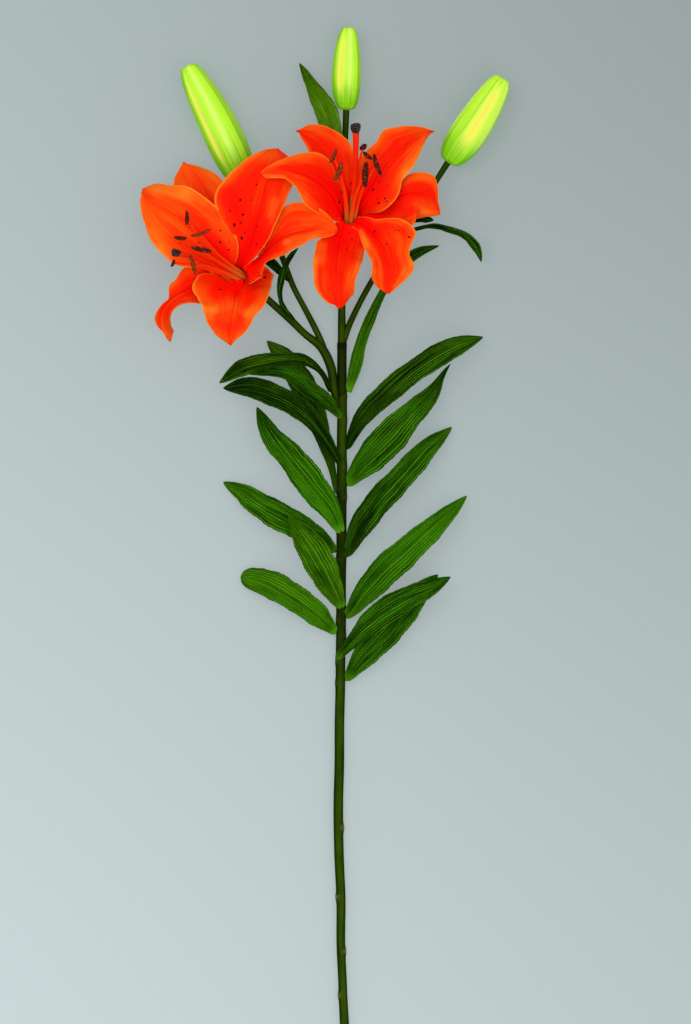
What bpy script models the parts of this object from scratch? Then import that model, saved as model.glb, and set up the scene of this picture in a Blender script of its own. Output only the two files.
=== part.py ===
"""A cut tiger lily spray lying on a table: two open flowers, three buds, a stem and its leaves.

Frame: +X right and +Y towards the flowers, seen from above; +Z up; the table is at z = 0.
Values in the tables are millimetres, and MM turns them into Blender's metres.
"""

import math

import bmesh
import bpy
import numpy as np
from mathutils import Vector

MM = 0.001
GAP = 0.4  # between a piece and what carries it
STEM_HEIGHT = 4.4  # of the stem's centre line over the table
STEM_TOP = 107.5  # y where the stem ends and the stalks begin
LEAF_THICKNESS = 0.8
TEPAL_THICKNESS = 0.9
LEAF_GRID = (9, 4)  # faces along and across a leaf
TEPAL_GRID = (10, 6)
RECEPTACLE_RADIUS = 6.4  # the stalk's end that carries a flower
CLAW_RADIUS = {"inner": 5.0, "outer": 5.7}  # ring where the tepals stand on it
CLAW_HALF_WIDTH = 1.6
THROAT_RADIUS = {"inner": 6.8, "outer": 9.2}  # the same ring, THROAT_DEPTH further up
THROAT_HALF_WIDTH = {"inner": 4.0, "outer": 3.0}
THROAT_DEPTH = 6.5
STAMEN_RING = 3.4
FILAMENT_RADIUS = 0.8
FILAMENT_POINTS = 7
FILAMENT_KNEE = 0.55  # how far up its length a filament begins to lean out
RECEPTACLE = [(12.0, 2.9), (5.0, 4.0), (1.2, 6.0), (0.0, RECEPTACLE_RADIUS)]  # back from the throat, radius
RING_SHARE = 0.2  # of a tepal's length, over which it turns from the ring to its own lie
BUD_LOBES = 0.05  # how far a bud's three ribs stand out
BUD_BLUNTNESS = 2.6
BUD_GRID = (12, 10)  # faces round and along a bud

# Stem centre line: x, y and radius, from the cut end to the fork.
STEM = [
    (16.5, -403.4, 3.7), (16.2, -393.7, 3.7), (15.0, -368.9, 3.5), (13.5, -335.3, 3.5),
    (13.3, -294.5, 3.7), (11.3, -237.7, 3.9), (12.0, -184.1, 3.9), (12.4, -144.9, 3.9),
    (13.1, -105.7, 3.9), (13.6, -24.1, 4.1), (14.0, 33.5, 4.1), (14.3, STEM_TOP, 3.9),
]
SCARS = [(-370.5, 1), (-335.3, -1), (-292.0, 1), (-236.5, -1)]  # y and side of each old leaf base
SCAR_HEIGHT = 0.9
SCAR_REACH = 3.5

# Stalk centre lines: x, y, z and radius. A flower's stalk goes on to its receptacle.
CENTRE_STALK = [
    (14.3, 108.0, 4.3, 3.5), (14.2, 131.0, 4.3, 3.4), (14.1, 153.5, 4.3, 3.3), (14.1, 177.5, 4.1, 3.0),
    (15.3, 209.5, 4.0, 2.7), (16.5, 241.5, 4.0, 2.5), (16.5, 281.5, 5.0, 2.4), (16.7, 315.4, 8.5, 2.4),
    (17.6, 336.4, 12.9, 2.6),
]
LEFT_FLOWER_STALK = [
    (7.2, 112.7, 4.3, 3.2), (5.7, 130.7, 4.8, 3.7), (-2.7, 147.9, 5.5, 3.5), (-15.5, 158.3, 6.5, 2.9),
    (-26.9, 169.5, 8.0, 3.0), (-45.4, 186.3, 13.0, 2.8),
]
LEFT_BUD_STALK = [
    (-4.5, 157.3, 5.8, 2.4), (-15.5, 178.6, 7.0, 2.3), (-25.1, 197.0, 8.0, 2.3), (-30.1, 209.8, 8.6, 2.3),
    (-36.0, 226.0, 10.0, 2.3), (-44.0, 246.0, 12.0, 2.3), (-55.0, 264.0, 14.0, 2.4),
    (-61.8, 276.2, 16.0, 2.6),
]
RIGHT_FLOWER_STALK = [
    (14.1, 178.0, 10.1, 2.5), (15.0, 195.0, 10.0, 2.5), (17.2, 212.0, 11.2, 2.5), (19.0, 226.0, 15.4, 2.6),
]
RIGHT_BUD_STALK = [
    (20.2, 165.0, 4.6, 2.3), (23.7, 173.5, 5.0, 2.3), (38.5, 201.5, 7.0, 2.3), (58.0, 233.0, 10.0, 2.2),
    (75.0, 258.5, 12.0, 2.2), (90.0, 281.5, 14.4, 2.3), (98.5, 294.6, 15.5, 2.6),
]

# Buds: base, tip and largest radius.
BUDS = {
    "left_bud": ((-62.2, 277.0, 16.2), (-109.5, 373.0, 17.5), 15.4),
    "top_bud": ((17.7, 337.2, 13.0), (19.7, 403.5, 12.5), 11.6),
    "right_bud": ((98.9, 295.1, 15.6), (142.9, 363.1, 16.5), 14.6),
}

# A blade's stations run from base to tip: x, y, z and the half widths on its left and right.
LEAVES = {
    "leaf_left_1": [
        (8.4, 34, 4.2, 1.2, 1.2), (5.5, 54, 4.5, 3.5, 3), (-1, 77, 5, 7, 6), (-9, 99, 6, 9, 9),
        (-19, 119, 7, 9, 11), (-31, 137, 6, 8, 9), (-46, 153, 3.5, 0, 0),
    ],
    "leaf_left_2": [
        (2.8, 117, 6, 1, 1), (-4, 129, 20, 2, 2.5), (-16, 137, 30, 4, 4.5), (-39, 137, 37, 5, 6),
        (-63, 132, 34, 7, 7), (-84, 119, 18, 0, 0),
    ],
    "leaf_left_3": [
        (13, 93, 9.3, 1.6, 1.6), (3, 104, 14, 6, 5), (-13, 115, 21, 7, 7), (-31, 126, 26, 4, 8),
        (-53, 129, 24, 4, 5), (-71, 128, 18, 0, 0),
    ],
    "leaf_left_4": [
        (11.8, 57, 8.8, 1.6, 1.6), (1, 75, 14, 5, 5), (-15, 96, 20, 9, 7), (-39, 111, 23, 11, 7),
        (-61, 117, 20, 9, 7), (-81, 115, 11, 0, 0),
    ],
    "leaf_left_5": [
        (13, 2, 9.3, 1.8, 1.8), (5, 18, 14, 9, 8), (-10, 36, 20, 11, 13), (-26, 56, 23, 9, 13),
        (-42, 78, 20, 9, 7), (-54, 100, 10, 0, 0),
    ],
    "leaf_left_6": [
        (8.4, -14, 5, 1.2, 1.2), (-5, -2, 8, 9, 6), (-27, 11, 11, 14, 8), (-50, 23, 10, 12, 8),
        (-67, 34, 6, 8, 5), (-81, 40, 2.2, 0, 0),
    ],
    "leaf_left_7": [
        (13.5, -58, 9.3, 1.8, 1.8), (6, -45, 14, 9, 9), (-4, -27, 20, 11, 14), (-15, -9, 21, 9, 13),
        (-29, 12, 15, 0, 0),
    ],
    "leaf_left_8": [
        (8.0, -79, 5, 1.2, 1.2), (-5, -68, 10, 8, 10), (-23, -55, 13, 9, 12), (-43, -43, 11, 10, 12),
        (-55, -38, 7, 9, 9), (-67, -36, 2.2, 0, 0),
    ],
    "leaf_right_1": [
        (19.9, 70, 5, 1.2, 1.2), (30, 90, 12, 7, 6), (49, 109, 21, 10, 8), (75, 132, 27, 8, 10),
        (101, 148, 22, 7, 10), (127, 156, 8, 0, 0),
    ],
    "leaf_right_2": [
        (19.8, 40, 5, 1.2, 1.2), (29, 54, 10, 7, 12), (48, 73, 17, 12, 15), (69, 95, 20, 9, 11),
        (88, 114, 15, 5, 6), (100, 134, 6, 0, 0),
    ],
    "leaf_right_3": [
        (19.5, -16, 5, 1.2, 1.2), (26, 2, 10, 7, 10), (42, 25, 15, 9, 12), (61, 46, 18, 8, 12),
        (81, 68, 13, 6, 10), (102, 84, 3, 0, 0),
    ],
    "leaf_right_4": [
        (19.2, -66, 5, 1.2, 1.2), (29, -51, 12, 7, 10), (47, -30, 19, 10, 14), (69, -10, 22, 9, 13),
        (93, 11, 16, 6, 9), (114, 29, 5, 0, 0),
    ],
    "leaf_right_5": [
        (11, -99, 9.2, 1.6, 1.6), (23, -86, 13, 5, 6), (41, -69, 21, 10, 11), (65, -54, 25, 10, 9),
        (85, -45, 21, 7, 6), (101, -36, 12, 0, 0),
    ],
    "leaf_right_6": [
        (18.4, -116, 5, 1.2, 1.2), (30, -100, 8, 8, 10), (49, -80, 10, 11, 12), (67, -59, 10, 11, 11),
        (80, -45, 7, 7, 6), (91, -34, 4, 0, 0),
    ],
    "leaf_top": [
        (14.3, 295, 8.7, 1.2, 1.2), (9, 315, 12, 7, 6), (1, 337, 14, 9, 9), (-10, 357, 12, 5, 5),
        (-20, 375, 7, 0, 0),
    ],
    "bract_right_long": [
        (20.0, 114, 5, 2, 2), (25, 133, 9, 5, 5), (29, 150, 13, 4.5, 4.5), (38, 173.5, 15, 4, 4),
        (47, 192, 17, 3, 3), (59, 211, 17, 3.5, 3.5), (74, 223, 14, 4, 4), (92, 229, 8, 0, 0),
    ],
    "bract_right_arched": [
        (64, 240, 14.2, 1.2, 1.2), (75, 243, 20, 2.5, 2.5), (90, 244.5, 25, 3.5, 3.5), (101, 242, 25, 4, 4),
        (111, 238.5, 22, 4.5, 4.5), (118.5, 232, 18, 4.5, 4.5), (123, 225, 13, 3.5, 3.5),
        (125.5, 216, 8, 0, 0),
    ],
    "bract_right_short": [
        (67, 246.5, 14.0, 1, 1), (74, 250, 18, 2.6, 2.6), (82, 250, 19, 2.6, 2.6), (87.5, 249, 17, 0, 0),
    ],
    "bract_left_folded": [
        (-25.5, 171, 11.8, 1, 1), (-34.5, 182.3, 17, 2.5, 2.5), (-36, 194.5, 22, 3, 3),
        (-33, 208, 24, 3, 3), (-28, 219, 21, 2.5, 2.5), (-21, 227, 15, 0, 0),
    ],
    "bract_left_hidden": [
        (-28.5, 202.5, 11.3, 1, 1), (-35, 208, 14, 3, 3), (-44, 217, 15, 4, 4), (-55, 229, 12, 3, 3),
        (-64, 240, 8, 0, 0),
    ],
}
LEAF_CUP = (0.30, 0.10)  # rise of the edges at base and tip, over the half width
LEAF_ROLLS = {"bract_right_arched": (75, 35), "bract_left_folded": (50, 30)}  # base and tip, degrees

# Flowers. A tepal: its whorl, place round the axis in degrees, roll, cup and stations.
# A stamen: its place round the axis, the two ends of its anther, and the anther's width.
FLOWERS = {
    "right": {
        "throat": (20.5, 246.3, 30.0),
        "axis": (0.05, 0.78, 0.62),
        "stalk": RIGHT_FLOWER_STALK,
        "tepals": {
            "right_outer_tepal_top": ("outer", 240, (0, 0), (0.1, 0.0), [
                (13, 270, 38, 10, 12), (6, 290, 37, 14, 18), (-5, 308, 28, 10, 19), (-17, 318, 18, 4, 10),
                (-22, 320, 14, 0, 0)]),
            "right_inner_tepal_left": ("inner", 180, (25, 15), (0.1, -0.1), [
                (3, 272, 47, 18, 14), (-10, 282, 56, 19, 21), (-27, 287, 61, 9, 15), (-43, 288, 60, 5, 6),
                (-50, 286, 57, 0, 0)]),
            "right_inner_tepal_top": ("inner", 300, (0, 0), (0.05, 0.0), [
                (33, 269, 45, 9, 14), (48, 291, 46, 19, 17), (65, 308, 40, 20, 15), (78, 316, 30, 11, 7),
                (88, 320, 21, 0, 0)]),
            "right_outer_tepal_right": ("outer", 0, (-20, -10), (0.1, -0.1), [
                (45, 259.5, 31.5, 1.5, 11), (61, 268, 40, 16, 20), (75, 270, 40, 19, 22),
                (85, 265, 36, 9, 18), (92, 254, 30, 0, 0)]),
            "right_inner_tepal_bottom": ("inner", 60, (0, 0), (0.15, -0.2), [
                (37, 239, 50, 16, 10), (46, 228, 65, 27, 14), (51, 217, 75, 19, 14), (53, 208, 79, 20, 16),
                (53, 199, 77, 12, 13), (51, 191, 72, 0, 0)]),
            "right_outer_tepal_bottom": ("outer", 120, (0, 0), (0.1, -0.2), [
                (13, 234, 42, 14, 13), (10, 216, 60, 19, 19), (9, 198, 68, 16, 17), (9, 186, 66, 12, 10),
                (11, 178, 60, 0, 0)]),
        },
        "pistil": [(23.2, 269.5, 48.5), (25.0, 297.0, 68.0), (25.4, 325.5, 82.0)],
        "stamens": [
            (200, (9.8, 305.4, 61), (4.8, 294.2, 60), 4.0),
            (140, (14.4, 294.7, 70), (8.3, 279.4, 70), 4.4),
            (80, (33.4, 295.0, 76), (32.4, 274.6, 74), 5.4),
            (20, (39.3, 301.4, 60), (45.2, 283.7, 63), 4.2),
            (320, (30.8, 303.0, 64), (38.2, 297.1, 62), 3.8),
            (260, (29.0, 305.0, 52), (33.0, 309.0, 59), 4.6),
        ],
    },
    "left": {
        "throat": (-65.1, 202.3, 30.0),
        "axis": (-0.62, 0.35, 0.70),
        "stalk": LEFT_FLOWER_STALK,
        "tepals": {
            "left_outer_tepal_top": ("outer", 290, (0, 0), (0.1, 0.0), [
                (-76, 234, 37, 10, 11), (-88, 259, 35, 16, 15), (-99, 279, 25, 18, 14),
                (-107, 290, 17, 13, 7), (-113, 296, 12, 0, 0)]),
            "left_inner_tepal_left": ("inner", 230, (8, 0), (0.15, 0.0), [
                (-87, 227, 47, 17, 16), (-109, 246, 51, 31, 24), (-130, 259, 42, 22, 22),
                (-141, 267, 32, 12, 14), (-147, 271, 25, 0, 0)]),
            "left_inner_tepal_top": ("inner", 350, (0, 0), (0.1, -0.15), [
                (-58, 230, 45, 17, 7), (-52, 254, 50, 33, 14), (-46, 278, 50, 31, 19), (-40, 296, 43, 19, 16),
                (-36, 306, 33, 0, 0)]),
            "left_outer_tepal_right": ("outer", 50, (0, 0), (0.1, 0.0), [
                (-50, 221, 34, 2.5, 8), (-33, 234, 43, 18, 12), (-13, 240, 47, 21, 9), (0, 242, 49, 13, 7),
                (11, 242, 47, 0, 0)]),
            "left_inner_tepal_bottom": ("inner", 110, (0, 0), (0.1, -0.15), [
                (-67.5, 196.5, 40, 18, 18), (-70, 190, 47, 26, 32), (-72, 178, 60, 18, 28),
                (-75, 163, 67, 13, 18), (-75, 154, 65, 7, 9), (-75, 149, 60, 0, 0)]),
            "left_outer_tepal_bottom": ("outer", 170, (-10, -20), (0.0, -0.3), [
                (-87, 197, 31, 9, 4), (-106, 194, 44, 12, 15), (-120, 187, 42, 9, 8), (-130, 174, 34, 8, 6),
                (-130, 163, 27, 7, 4), (-123, 152, 20, 0, 0)]),
        },
        "pistil": [(-83.5, 210.5, 51.0), (-101.5, 218.5, 72.0), (-121.0, 223.3, 88.0)],
        "stamens": [
            (310, (-109.6, 256.2, 58), (-109.9, 244.7, 61), 3.4),
            (10, (-90.3, 240.9, 74), (-106.6, 235.5, 78), 3.2),
            (250, (-119.9, 234.8, 68), (-109.6, 234.0, 71), 3.4),
            (70, (-106.1, 226.8, 88), (-89.9, 223.4, 84), 4.0),
            (130, (-106.7, 221.0, 95), (-102.8, 205.4, 88), 3.6),
            (190, (-119.3, 217.0, 74), (-121.9, 211.5, 70), 3.0),
        ],
    },
}
PISTIL_RADII = [  # place along it and radius: ovary, style, stigma
    (0.0, 2.0), (0.10, 2.2), (0.24, 1.9), (0.32, 1.3), (0.70, 1.2), (0.90, 1.7), (0.95, 3.8), (1.0, 3.6),
]

COLOURS = {  # base colour and roughness
    "petal": ((0.90, 0.09, 0.01), 0.45),
    "leaf": ((0.03, 0.12, 0.01), 0.50),
    "stem": ((0.06, 0.10, 0.01), 0.50),
    "bud": ((0.40, 0.62, 0.05), 0.40),
    "stamen": ((0.12, 0.02, 0.01), 0.80),
    "pistil": ((0.80, 0.15, 0.02), 0.45),
}


def clear_scene():
    """Remove whatever the file holds."""
    for obj in list(bpy.data.objects):
        bpy.data.objects.remove(obj, do_unlink=True)


def new_collection(name):
    """A collection linked to the scene."""
    collection = bpy.data.collections.new(name)
    bpy.context.scene.collection.children.link(collection)
    return collection


def finish(name, kind):
    """The material of one piece: the colour of its kind."""
    colour, roughness = COLOURS[kind]
    material = bpy.data.materials.new(name)
    material.use_nodes = True
    shader = material.node_tree.nodes["Principled BSDF"]
    shader.inputs["Base Color"].default_value = (*colour, 1.0)
    shader.inputs["Roughness"].default_value = roughness
    return material


def add_object(name, data, kind):
    """An object in the part's collection, with its own material."""
    obj = bpy.data.objects.new(name, data)
    data.materials.append(finish(name, kind))
    PART.objects.link(obj)
    return obj


def spline(rows, places):
    """Rows of numbers read at places from 0 to 1 along a smooth curve through their first three columns."""
    rows = np.array(rows, float)
    steps = np.linalg.norm(np.diff(rows[:, :3], axis=0), axis=1)
    knots = np.concatenate([[0.0], np.cumsum(steps)]) / steps.sum()
    slopes = np.gradient(rows, knots, axis=0)
    found = []
    for place in places:
        i = int(np.clip(np.searchsorted(knots, place) - 1, 0, len(rows) - 2))
        span = knots[i + 1] - knots[i]
        t = (place - knots[i]) / span
        found.append(
            (2 * t**3 - 3 * t**2 + 1) * rows[i]
            + (t**3 - 2 * t**2 + t) * span * slopes[i]
            + (3 * t**2 - 2 * t**3) * rows[i + 1]
            + (t**3 - t**2) * span * slopes[i + 1]
        )
    return np.array(found)


def blade_surface(stations, roll, cup, side, rows, columns):
    """Points of a leaf or tepal, row by row from base to tip, in millimetres."""
    places = np.linspace(0, 1, rows + 1)
    line = spline(stations, places)
    forward = np.gradient(line[:, :3], axis=0)
    points = np.zeros((rows + 1, columns + 1, 3))
    for i, place in enumerate(places):
        along = Vector(forward[i]).normalized()
        left = Vector((0, 0, 1)).cross(along).normalized()
        turned = 1.0
        if side is not None:
            turned = min(1.0, place / RING_SHARE)
            left = Vector(side).lerp(left, turned * turned * (3 - 2 * turned))
            left = (left - along * left.dot(along)).normalized()
        up = along.cross(left)
        angle = math.radians(roll[0] + (roll[1] - roll[0]) * place) * turned
        across = left * math.cos(angle) + up * math.sin(angle)
        rise = up * math.cos(angle) - left * math.sin(angle)
        lift = cup[0] + (cup[1] - cup[0]) * place
        for j in range(columns + 1):
            v = 2 * j / columns - 1
            half = max(0.0, line[i, 3] if v > 0 else line[i, 4])
            point = Vector(line[i, :3]) + across * (v * half) + rise * (lift * half * v * v)
            points[i, j] = point
    return points


def add_blade(name, kind, stations, roll, cup, thickness, grid, side=None):
    """A leaf or tepal: a grid laid along its stations, then given its thickness."""
    rows, columns = grid
    points = blade_surface(stations, roll, cup, side, rows, columns)
    bm = bmesh.new()
    bmesh.ops.create_grid(bm, x_segments=columns, y_segments=rows, size=1)
    for vertex in bm.verts:
        j = round((vertex.co.x + 1) / 2 * columns)
        i = round((vertex.co.y + 1) / 2 * rows)
        vertex.co = Vector(points[i, j]) * MM
    bmesh.ops.remove_doubles(bm, verts=bm.verts, dist=0.01 * MM)
    mesh = bpy.data.meshes.new(name)
    bm.to_mesh(mesh)
    bm.free()
    mesh.shade_smooth()
    obj = add_object(name, mesh, kind)
    shell = obj.modifiers.new("Thickness", "SOLIDIFY")
    shell.thickness = thickness * MM
    shell.offset = 0
    return obj


def tube_curve(name, points, radii):
    """A POLY curve with its own radius in millimetres at every point."""
    curve = bpy.data.curves.new(name, "CURVE")
    curve.dimensions = "3D"
    curve.bevel_depth = MM
    curve.bevel_resolution = 2
    curve.use_fill_caps = True
    line = curve.splines.new("POLY")
    line.points.add(len(points) - 1)
    for point, place, radius in zip(line.points, points, radii):
        point.co = (*(Vector(place) * MM), 1)
        point.radius = radius
    return curve


def add_tube(name, kind, rows, count):
    """A stalk: a tube with count points along the smooth line through rows of x, y, z and radius."""
    line = spline(rows, np.linspace(0, 1, count))
    return add_object(name, tube_curve(name, line[:, :3], line[:, 3]), kind)


def add_stem():
    """The stem, with each leaf scar as a one-sided swelling."""
    line = [(x, y, STEM_HEIGHT, radius) for x, y, radius in STEM]
    length = STEM_TOP - STEM[0][1]
    places = [(row[1] - STEM[0][1]) / length for row in line]
    for scar, _ in SCARS:
        places += [(scar - STEM[0][1] + reach) / length for reach in (-SCAR_REACH, 0, SCAR_REACH)]
    points = spline(line, sorted(places))
    for scar, sign in SCARS:
        for point in points:
            if abs(point[1] - scar) < 0.5 * SCAR_REACH:
                point[0] += sign * SCAR_HEIGHT / 2
                point[3] += SCAR_HEIGHT / 2
    return add_object("stem", tube_curve("stem", points[:, :3], points[:, 3]), "stem")


def flower_frame(flower):
    """Throat, axis and the two directions across it."""
    throat = Vector(flower["throat"])
    axis = Vector(flower["axis"]).normalized()
    right = axis.cross(Vector((0, 0, 1))).normalized()
    return throat, axis, right, right.cross(axis)


def around(frame, angle):
    """The direction out from a flower's axis at an angle in degrees."""
    _, _, right, over = frame
    turn = math.radians(angle)
    return right * math.cos(turn) + over * math.sin(turn)


def add_flower_stalk(name, flower, count):
    """A stalk that widens into the receptacle under the flower's throat."""
    throat, axis, _, _ = flower_frame(flower)
    rows = list(flower["stalk"])
    for back, radius in RECEPTACLE:
        rows.append((*(throat - axis * back), radius))
    line = spline(rows, np.linspace(0, 1, count)[:-2])
    line = np.concatenate([line, rows[-3:]])
    return add_object(name, tube_curve(name, line[:, :3], line[:, 3]), "stem")


def add_tepals(flower):
    """Six tepals that stand on the receptacle, three inside three."""
    frame = flower_frame(flower)
    throat, axis, _, _ = frame
    for name, (whorl, angle, roll, cup, stations) in flower["tepals"].items():
        out = around(frame, angle)
        claw = throat + out * CLAW_RADIUS[whorl] + axis * (2 * GAP)
        neck = throat + out * THROAT_RADIUS[whorl] + axis * THROAT_DEPTH
        rows = [
            (*claw, CLAW_HALF_WIDTH, CLAW_HALF_WIDTH),
            (*neck, THROAT_HALF_WIDTH[whorl], THROAT_HALF_WIDTH[whorl]),
            *stations,
        ]
        add_blade(name, "petal", rows, roll, cup, TEPAL_THICKNESS, TEPAL_GRID, side=axis.cross(out))


def add_pistil(name, flower):
    """Ovary, style and stigma on the flower's axis."""
    throat, axis, _, _ = flower_frame(flower)
    line = [tuple(throat + axis * GAP), *flower["pistil"]]
    places = [place for place, _ in PISTIL_RADII]
    radii = [radius for _, radius in PISTIL_RADII]
    return add_object(name, tube_curve(name, spline(line, places), radii), "pistil")


def mesh_from_curve(name, curve):
    """The curve's own mesh, with its caps welded on."""
    guide = bpy.data.objects.new(name + "_guide", curve)
    bpy.context.scene.collection.objects.link(guide)
    graph = bpy.context.evaluated_depsgraph_get()
    mesh = bpy.data.meshes.new_from_object(guide.evaluated_get(graph))
    bpy.data.objects.remove(guide, do_unlink=True)
    bm = bmesh.new()
    bm.from_mesh(mesh)
    bmesh.ops.remove_doubles(bm, verts=bm.verts, dist=0.01 * MM)
    bm.to_mesh(mesh)
    bm.free()
    return mesh


def add_anther(name, end_a, end_b, width):
    """The pollen sac that is joined to a filament."""
    axis = Vector(end_b) - Vector(end_a)
    size = Vector((width, width, axis.length)) / 2 * MM
    bm = bmesh.new()
    bmesh.ops.create_uvsphere(bm, u_segments=8, v_segments=6, radius=1)
    for vertex in bm.verts:
        vertex.co = vertex.co * size
    mesh = bpy.data.meshes.new(name)
    bm.to_mesh(mesh)
    bm.free()
    obj = bpy.data.objects.new(name, mesh)
    obj.location = (Vector(end_a) + Vector(end_b)) / 2 * MM
    obj.rotation_euler = axis.to_track_quat("Z", "X").to_euler()
    obj.hide_render = True
    obj.display_type = "WIRE"
    HELPERS.objects.link(obj)
    return obj


def add_stamens(prefix, flower):
    """Six stamens: each a filament joined to its anther."""
    frame = flower_frame(flower)
    throat, axis, _, _ = frame
    for number, (angle, end_a, end_b, width) in enumerate(flower["stamens"], 1):
        name = f"{prefix}_stamen_{number}"
        foot = throat + around(frame, angle) * STAMEN_RING + axis * GAP
        centre = (Vector(end_a) + Vector(end_b)) / 2
        knee = foot + axis * (FILAMENT_KNEE * (centre - foot).length)
        points = []
        for t in np.linspace(0, 1, FILAMENT_POINTS):
            points.append(foot * (1 - t) ** 2 + knee * (2 * t * (1 - t)) + centre * t**2)
        filament = mesh_from_curve(name, tube_curve(name, points, [FILAMENT_RADIUS] * FILAMENT_POINTS))
        obj = add_object(name, filament, "stamen")
        joined = obj.modifiers.new("Anther", "BOOLEAN")
        joined.operation = "UNION"
        joined.object = add_anther(name + "_anther", end_a, end_b, width)


def bud_radius(place):
    """A bud's radius along its axis, over its largest: blunt at both ends."""
    return math.sqrt(max(0.0, 1 - abs(2 * place - 1) ** BUD_BLUNTNESS))


def add_bud(name, base, tip, radius):
    """A closed bud: a ball drawn out along its axis, with three soft ribs."""
    bm = bmesh.new()
    bmesh.ops.create_uvsphere(bm, u_segments=BUD_GRID[0], v_segments=BUD_GRID[1], radius=1)
    axis = Vector(tip) - Vector(base)
    for vertex in bm.verts:
        place = (vertex.co.z + 1) / 2
        angle = math.atan2(vertex.co.y, vertex.co.x)
        size = radius * bud_radius(place) * (1 + BUD_LOBES * math.cos(3 * angle)) / (1 + BUD_LOBES)
        vertex.co = Vector((math.cos(angle) * size, math.sin(angle) * size, place * axis.length)) * MM
    mesh = bpy.data.meshes.new(name)
    bm.to_mesh(mesh)
    bm.free()
    mesh.shade_smooth()
    obj = add_object(name, mesh, "bud")
    obj.location = Vector(base) * MM
    obj.rotation_euler = axis.to_track_quat("Z", "X").to_euler()
    return obj


def build():
    """Every piece of the spray."""
    add_stem()
    add_tube("centre_stalk", "stem", CENTRE_STALK, 14)
    add_tube("left_bud_stalk", "stem", LEFT_BUD_STALK, 12)
    add_tube("right_bud_stalk", "stem", RIGHT_BUD_STALK, 12)
    add_flower_stalk("left_flower_stalk", FLOWERS["left"], 14)
    add_flower_stalk("right_flower_stalk", FLOWERS["right"], 12)
    for name, stations in LEAVES.items():
        add_blade(name, "leaf", stations, LEAF_ROLLS.get(name, (0, 0)), LEAF_CUP, LEAF_THICKNESS, LEAF_GRID)
    for name, (base, tip, radius) in BUDS.items():
        add_bud(name, base, tip, radius)
    for side, flower in FLOWERS.items():
        add_tepals(flower)
        add_pistil(side + "_pistil", flower)
        add_stamens(side, flower)


clear_scene()
PART = new_collection("tiger_lily")
HELPERS = new_collection("joined_shapes")
build()
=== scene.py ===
"""Looks of a cut tiger lily spray: petals, leaves, buds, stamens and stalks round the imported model.

Laid out as an add-on and run as a script. Tables are in millimetres, and MM turns them into
Blender's metres. Seen from above, +X is right and +Y runs from the cut end to the flowers.
"""

import math
import random

import bmesh
import bpy
import numpy as np
from bpy.props import FloatProperty, FloatVectorProperty, PointerProperty
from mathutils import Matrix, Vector
from mathutils.bvhtree import BVHTree


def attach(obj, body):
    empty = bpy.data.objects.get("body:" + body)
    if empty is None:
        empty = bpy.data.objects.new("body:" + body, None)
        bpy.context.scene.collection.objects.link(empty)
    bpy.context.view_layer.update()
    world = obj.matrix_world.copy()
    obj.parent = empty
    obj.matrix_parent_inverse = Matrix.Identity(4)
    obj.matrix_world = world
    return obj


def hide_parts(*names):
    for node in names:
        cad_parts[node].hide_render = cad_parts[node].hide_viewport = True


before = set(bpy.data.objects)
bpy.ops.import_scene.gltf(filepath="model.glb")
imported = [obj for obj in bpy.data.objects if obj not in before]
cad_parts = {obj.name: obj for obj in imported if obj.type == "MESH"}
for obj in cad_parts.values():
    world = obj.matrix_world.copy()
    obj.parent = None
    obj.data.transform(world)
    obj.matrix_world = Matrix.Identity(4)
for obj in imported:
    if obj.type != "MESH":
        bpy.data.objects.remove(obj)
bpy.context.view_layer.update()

bl_info = {
    "name": "Tiger lily spray",
    "version": (1, 0, 0),
    "blender": (4, 5, 0),
    "location": "3D View > Sidebar > Lily",
    "description": "Builds the petals, leaves, buds, stamens and stalks of a cut tiger lily",
    "category": "Object",
}

MM = 0.001
TURN = 2 * math.pi
WELD = 0.01  # distance in millimetres under which two points of a mesh are one

# The photograph seen in plan: millimetres to a pixel, and the pixel at the frame's origin.
PIXEL = 0.8
ORIGIN_PIXEL = (324.35, 531.9)
PHOTO_SIZE = (691, 1024)
SENSOR = 36.0  # width of the camera's sensor

# Stem centre line: x, y and radius, from the cut end to the fork, all at one height.
STEM_HEIGHT = 4.4
STEM = [
    (16.5, -403.4, 3.7), (16.2, -393.7, 3.7), (15.0, -368.9, 3.5), (13.5, -335.3, 3.5),
    (13.3, -294.5, 3.7), (11.3, -237.7, 3.9), (12.0, -184.1, 3.9), (12.4, -144.9, 3.9),
    (13.1, -105.7, 3.9), (13.6, -24.1, 4.1), (14.0, 33.5, 4.1), (14.3, 110.0, 3.9),
]
SCARS = [(-370.5, 1), (-335.3, -1), (-292.0, 1), (-236.5, -1)]  # y and side of each old leaf base
SCAR_MARK = (0.9, 0.9)  # how far a scar swells the stem, in millimetres, and how much it colours it
LEAF_MARK = (0.5, 0.25)  # the same where a leaf stands
LEAF_MARK_DROP = 2  # how far under a leaf's foot its mark lies

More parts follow.
